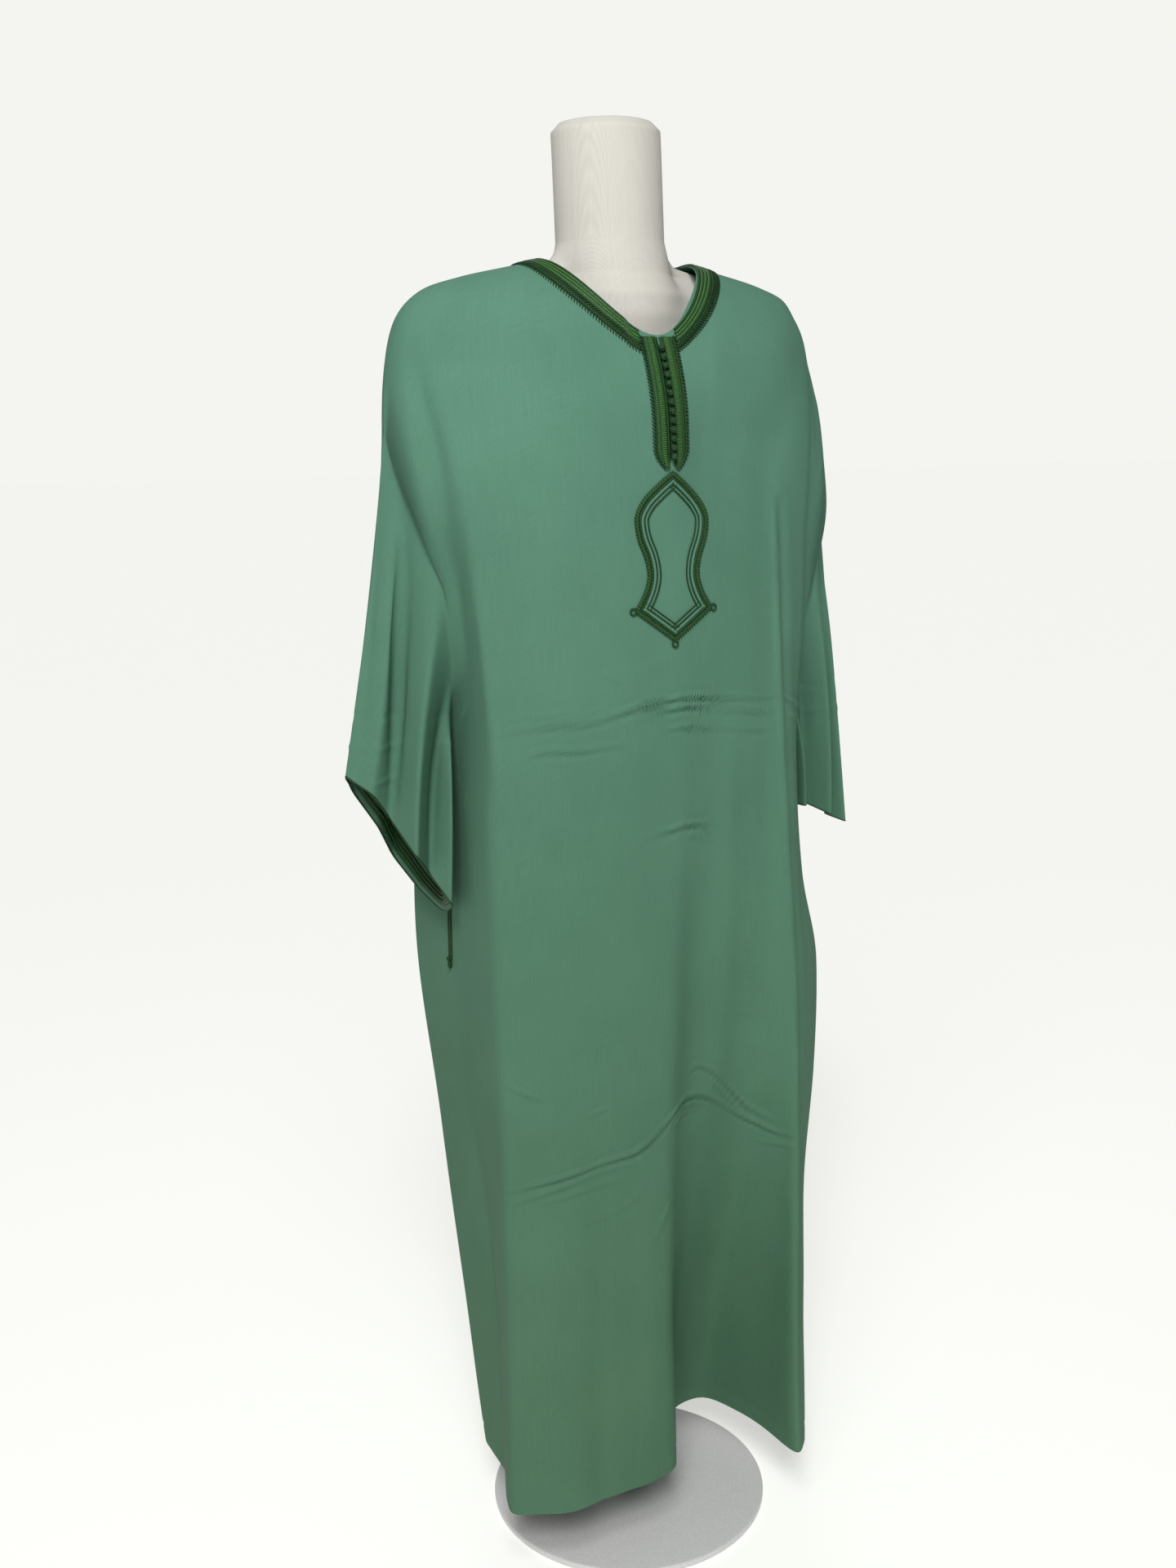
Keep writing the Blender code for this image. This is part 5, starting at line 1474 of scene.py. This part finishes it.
# a circle drawn up ring by ring, each ring then shaped to its section
def buildForm():
    sections = np.array(dressForm["sections"])
    heights = []
    for low, high in zip(sections[:-1, 0], sections[1:, 0]):
        heights += list(np.linspace(low, high, dressForm["between"], endpoint=False))
    heights.append(sections[-1, 0])
    deselectAll()
    bpy.ops.mesh.primitive_circle_add(vertices=dressForm["sides"], radius=0.1, fill_type="NGON")
    piece = bpy.context.object
    piece.name = "dressForm"
    bpy.ops.object.mode_set(mode="EDIT")
    bpy.ops.mesh.select_all(action="SELECT")
    for low, high in zip(heights[:-1], heights[1:]):
        bpy.ops.mesh.extrude_region_move(TRANSFORM_OT_translate={"value": (0, 0, high - low)})
    bpy.ops.object.mode_set(mode="OBJECT")
    places = np.array([v.co for v in piece.data.vertices])
    z = places[:, 2] + heights[0]
    turn = np.arctan2(places[:, 0], -places[:, 1])
    width, depth, middle, neck = (np.interp(z, sections[:, 0], column) for column in sections[:, 1:].T)
    shoulders = 1 / np.hypot(np.sin(turn) / width, np.cos(turn) / depth)
    blend = dressForm["blend"]
    reach = (shoulders**blend + neck**blend) ** (1 / blend)
    shaped = np.column_stack([reach * np.sin(turn), middle - reach * np.cos(turn), z])
    piece.data.vertices.foreach_set("co", shaped.astype(np.float32).ravel())
    activate(piece)
    bpy.ops.object.mode_set(mode="EDIT")
    bpy.ops.mesh.select_all(action="SELECT")
    bpy.ops.mesh.normals_make_consistent(inside=False)
    bpy.ops.object.mode_set(mode="OBJECT")
    bpy.ops.object.shade_smooth_by_angle(angle=math.radians(50))
    return piece


finishPiece(buildForm(), finishes["linen"], "form_linen", "form_torso")

stand = {"poleRadius": 0.016, "poleFoot": 0.0083, "poleTop": 0.7997, "poleEdge": 0.001,
         "baseRadius": 0.17, "baseHeight": 0.008, "baseEdge": 0.0028}


def turnedPiece(name, radius, low, high, bevel, sides):
    deselectAll()
    bpy.ops.mesh.primitive_cylinder_add(vertices=sides, radius=radius, depth=high - low,
                                        location=(0, 0, (low + high) / 2))
    piece = bpy.context.object
    piece.name = name
    bpy.ops.object.transform_apply(location=True, rotation=False, scale=False)
    rounding = piece.modifiers.new("rounding", "BEVEL")
    rounding.width = bevel
    rounding.segments = 4
    rounding.limit_method = "ANGLE"
    bpy.ops.object.modifier_apply(modifier=rounding.name)
    bpy.ops.object.shade_smooth_by_angle(angle=math.radians(30))
    return piece


for part, low, high, count in (
    ("pole", stand["poleFoot"], stand["poleTop"], 48),
    ("base", 0.0, stand["baseHeight"], 128),
):
    radius, edge = stand[part + "Radius"], stand[part + "Edge"]
    turned = turnedPiece("stand" + part.capitalize(), radius, low, high, edge, count)
    finishPiece(turned, finishes["steel"], "stand_steel", "form_" + part)
print("dress form made")


# what was cut, before it was hung: width and length, and the area where a sleeve tapers to its cuff
cuts = {
    "robeFront": ((0.66, 1.42), None),
    "robeBack": ((0.62, 1.42), None),
    "robeSleeveRight": ((0.66, 0.24), 0.127),
    "robeSleeveLeft": ((0.66, 0.24), 0.127),
}
for name, (flat, flatArea) in cuts.items():
    piece = clothPieces[name]
    shownArea = sum(face.area for face in piece.data.polygons) / 2
    cutArea = flatArea or flat[0] * flat[1]
    print(f"{name}: one face {shownArea:.3f} m2, cut {cutArea:.3f} m2")


# floor and light
studio = {
    "floorSize": 600,
    "floorColour": (0.62, 0.625, 0.598),
    "floorGlow": 0.53,
    "backdrop": (0.905, 0.912, 0.873),
    "skyStrength": 0.22,
    "lights": {  # kind, place, what it is aimed at, strength, and its angle in degrees or its size
        "sun": ("SUN", (-0.9, -1.7, 1.9), (0, 0, 0), 1.75, 18.0),
        "key": ("AREA", (-0.65, -1.05, 2.3), (0, 0, 1.1), 15.0, 0.7),
        "fill": ("SUN", (0.6, 2.4, 1.7), (0, 0, 0.9), 0.6, 50.0),
    },
}

deselectAll()
bpy.ops.mesh.primitive_plane_add(size=studio["floorSize"], location=(0, 0, -0.0005))
floor = bpy.context.object
floor.name = "floor"
floorMaterial, _, floorShader, _ = newMaterial("paleFloor")
floorShader.inputs["Base Color"].default_value = (*studio["floorColour"], 1)
floorShader.inputs["Roughness"].default_value = 1.0
floorShader.inputs["Specular IOR Level"].default_value = 0.0
floorShader.inputs["Emission Color"].default_value = (*studio["backdrop"], 1)
floorShader.inputs["Emission Strength"].default_value = studio["floorGlow"]
floor.data.materials.append(floorMaterial)

world = bpy.context.scene.world or bpy.data.worlds.new("studio")
bpy.context.scene.world = world
world.use_nodes = True
worldNodes = world.node_tree.nodes
worldNodes.clear()
skyLight = worldNodes.new("ShaderNodeBackground")  # what lights the robe
skyLight.inputs["Color"].default_value = (1.0, 1.0, 1.0, 1)
skyLight.inputs["Strength"].default_value = studio["skyStrength"]
backdrop = worldNodes.new("ShaderNodeBackground")  # what is seen behind it
backdrop.inputs["Color"].default_value = (*studio["backdrop"], 1)
seen = worldNodes.new("ShaderNodeLightPath")
chosen = worldNodes.new("ShaderNodeMixShader")
worldOut = worldNodes.new("ShaderNodeOutputWorld")
world.node_tree.links.new(seen.outputs["Is Camera Ray"], chosen.inputs[0])
world.node_tree.links.new(skyLight.outputs[0], chosen.inputs[1])
world.node_tree.links.new(backdrop.outputs[0], chosen.inputs[2])
world.node_tree.links.new(chosen.outputs[0], worldOut.inputs[0])


def addLight(name, kind, place, aim, strength, spread):
    lightData = bpy.data.lights.new(name, kind)
    lightData.energy = strength
    if kind == "SUN":
        lightData.angle = math.radians(spread)
    else:
        lightData.size = spread
    light = bpy.data.objects.new(name, lightData)
    light.location = place
    light.rotation_mode = "QUATERNION"
    light.rotation_quaternion = (Vector(place) - Vector(aim)).to_track_quat("Z", "Y")
    bpy.context.scene.collection.objects.link(light)


for name, values in studio["lights"].items():
    addLight(name, *values)
bpy.context.scene.view_settings.view_transform = "Standard"
print("studio made")
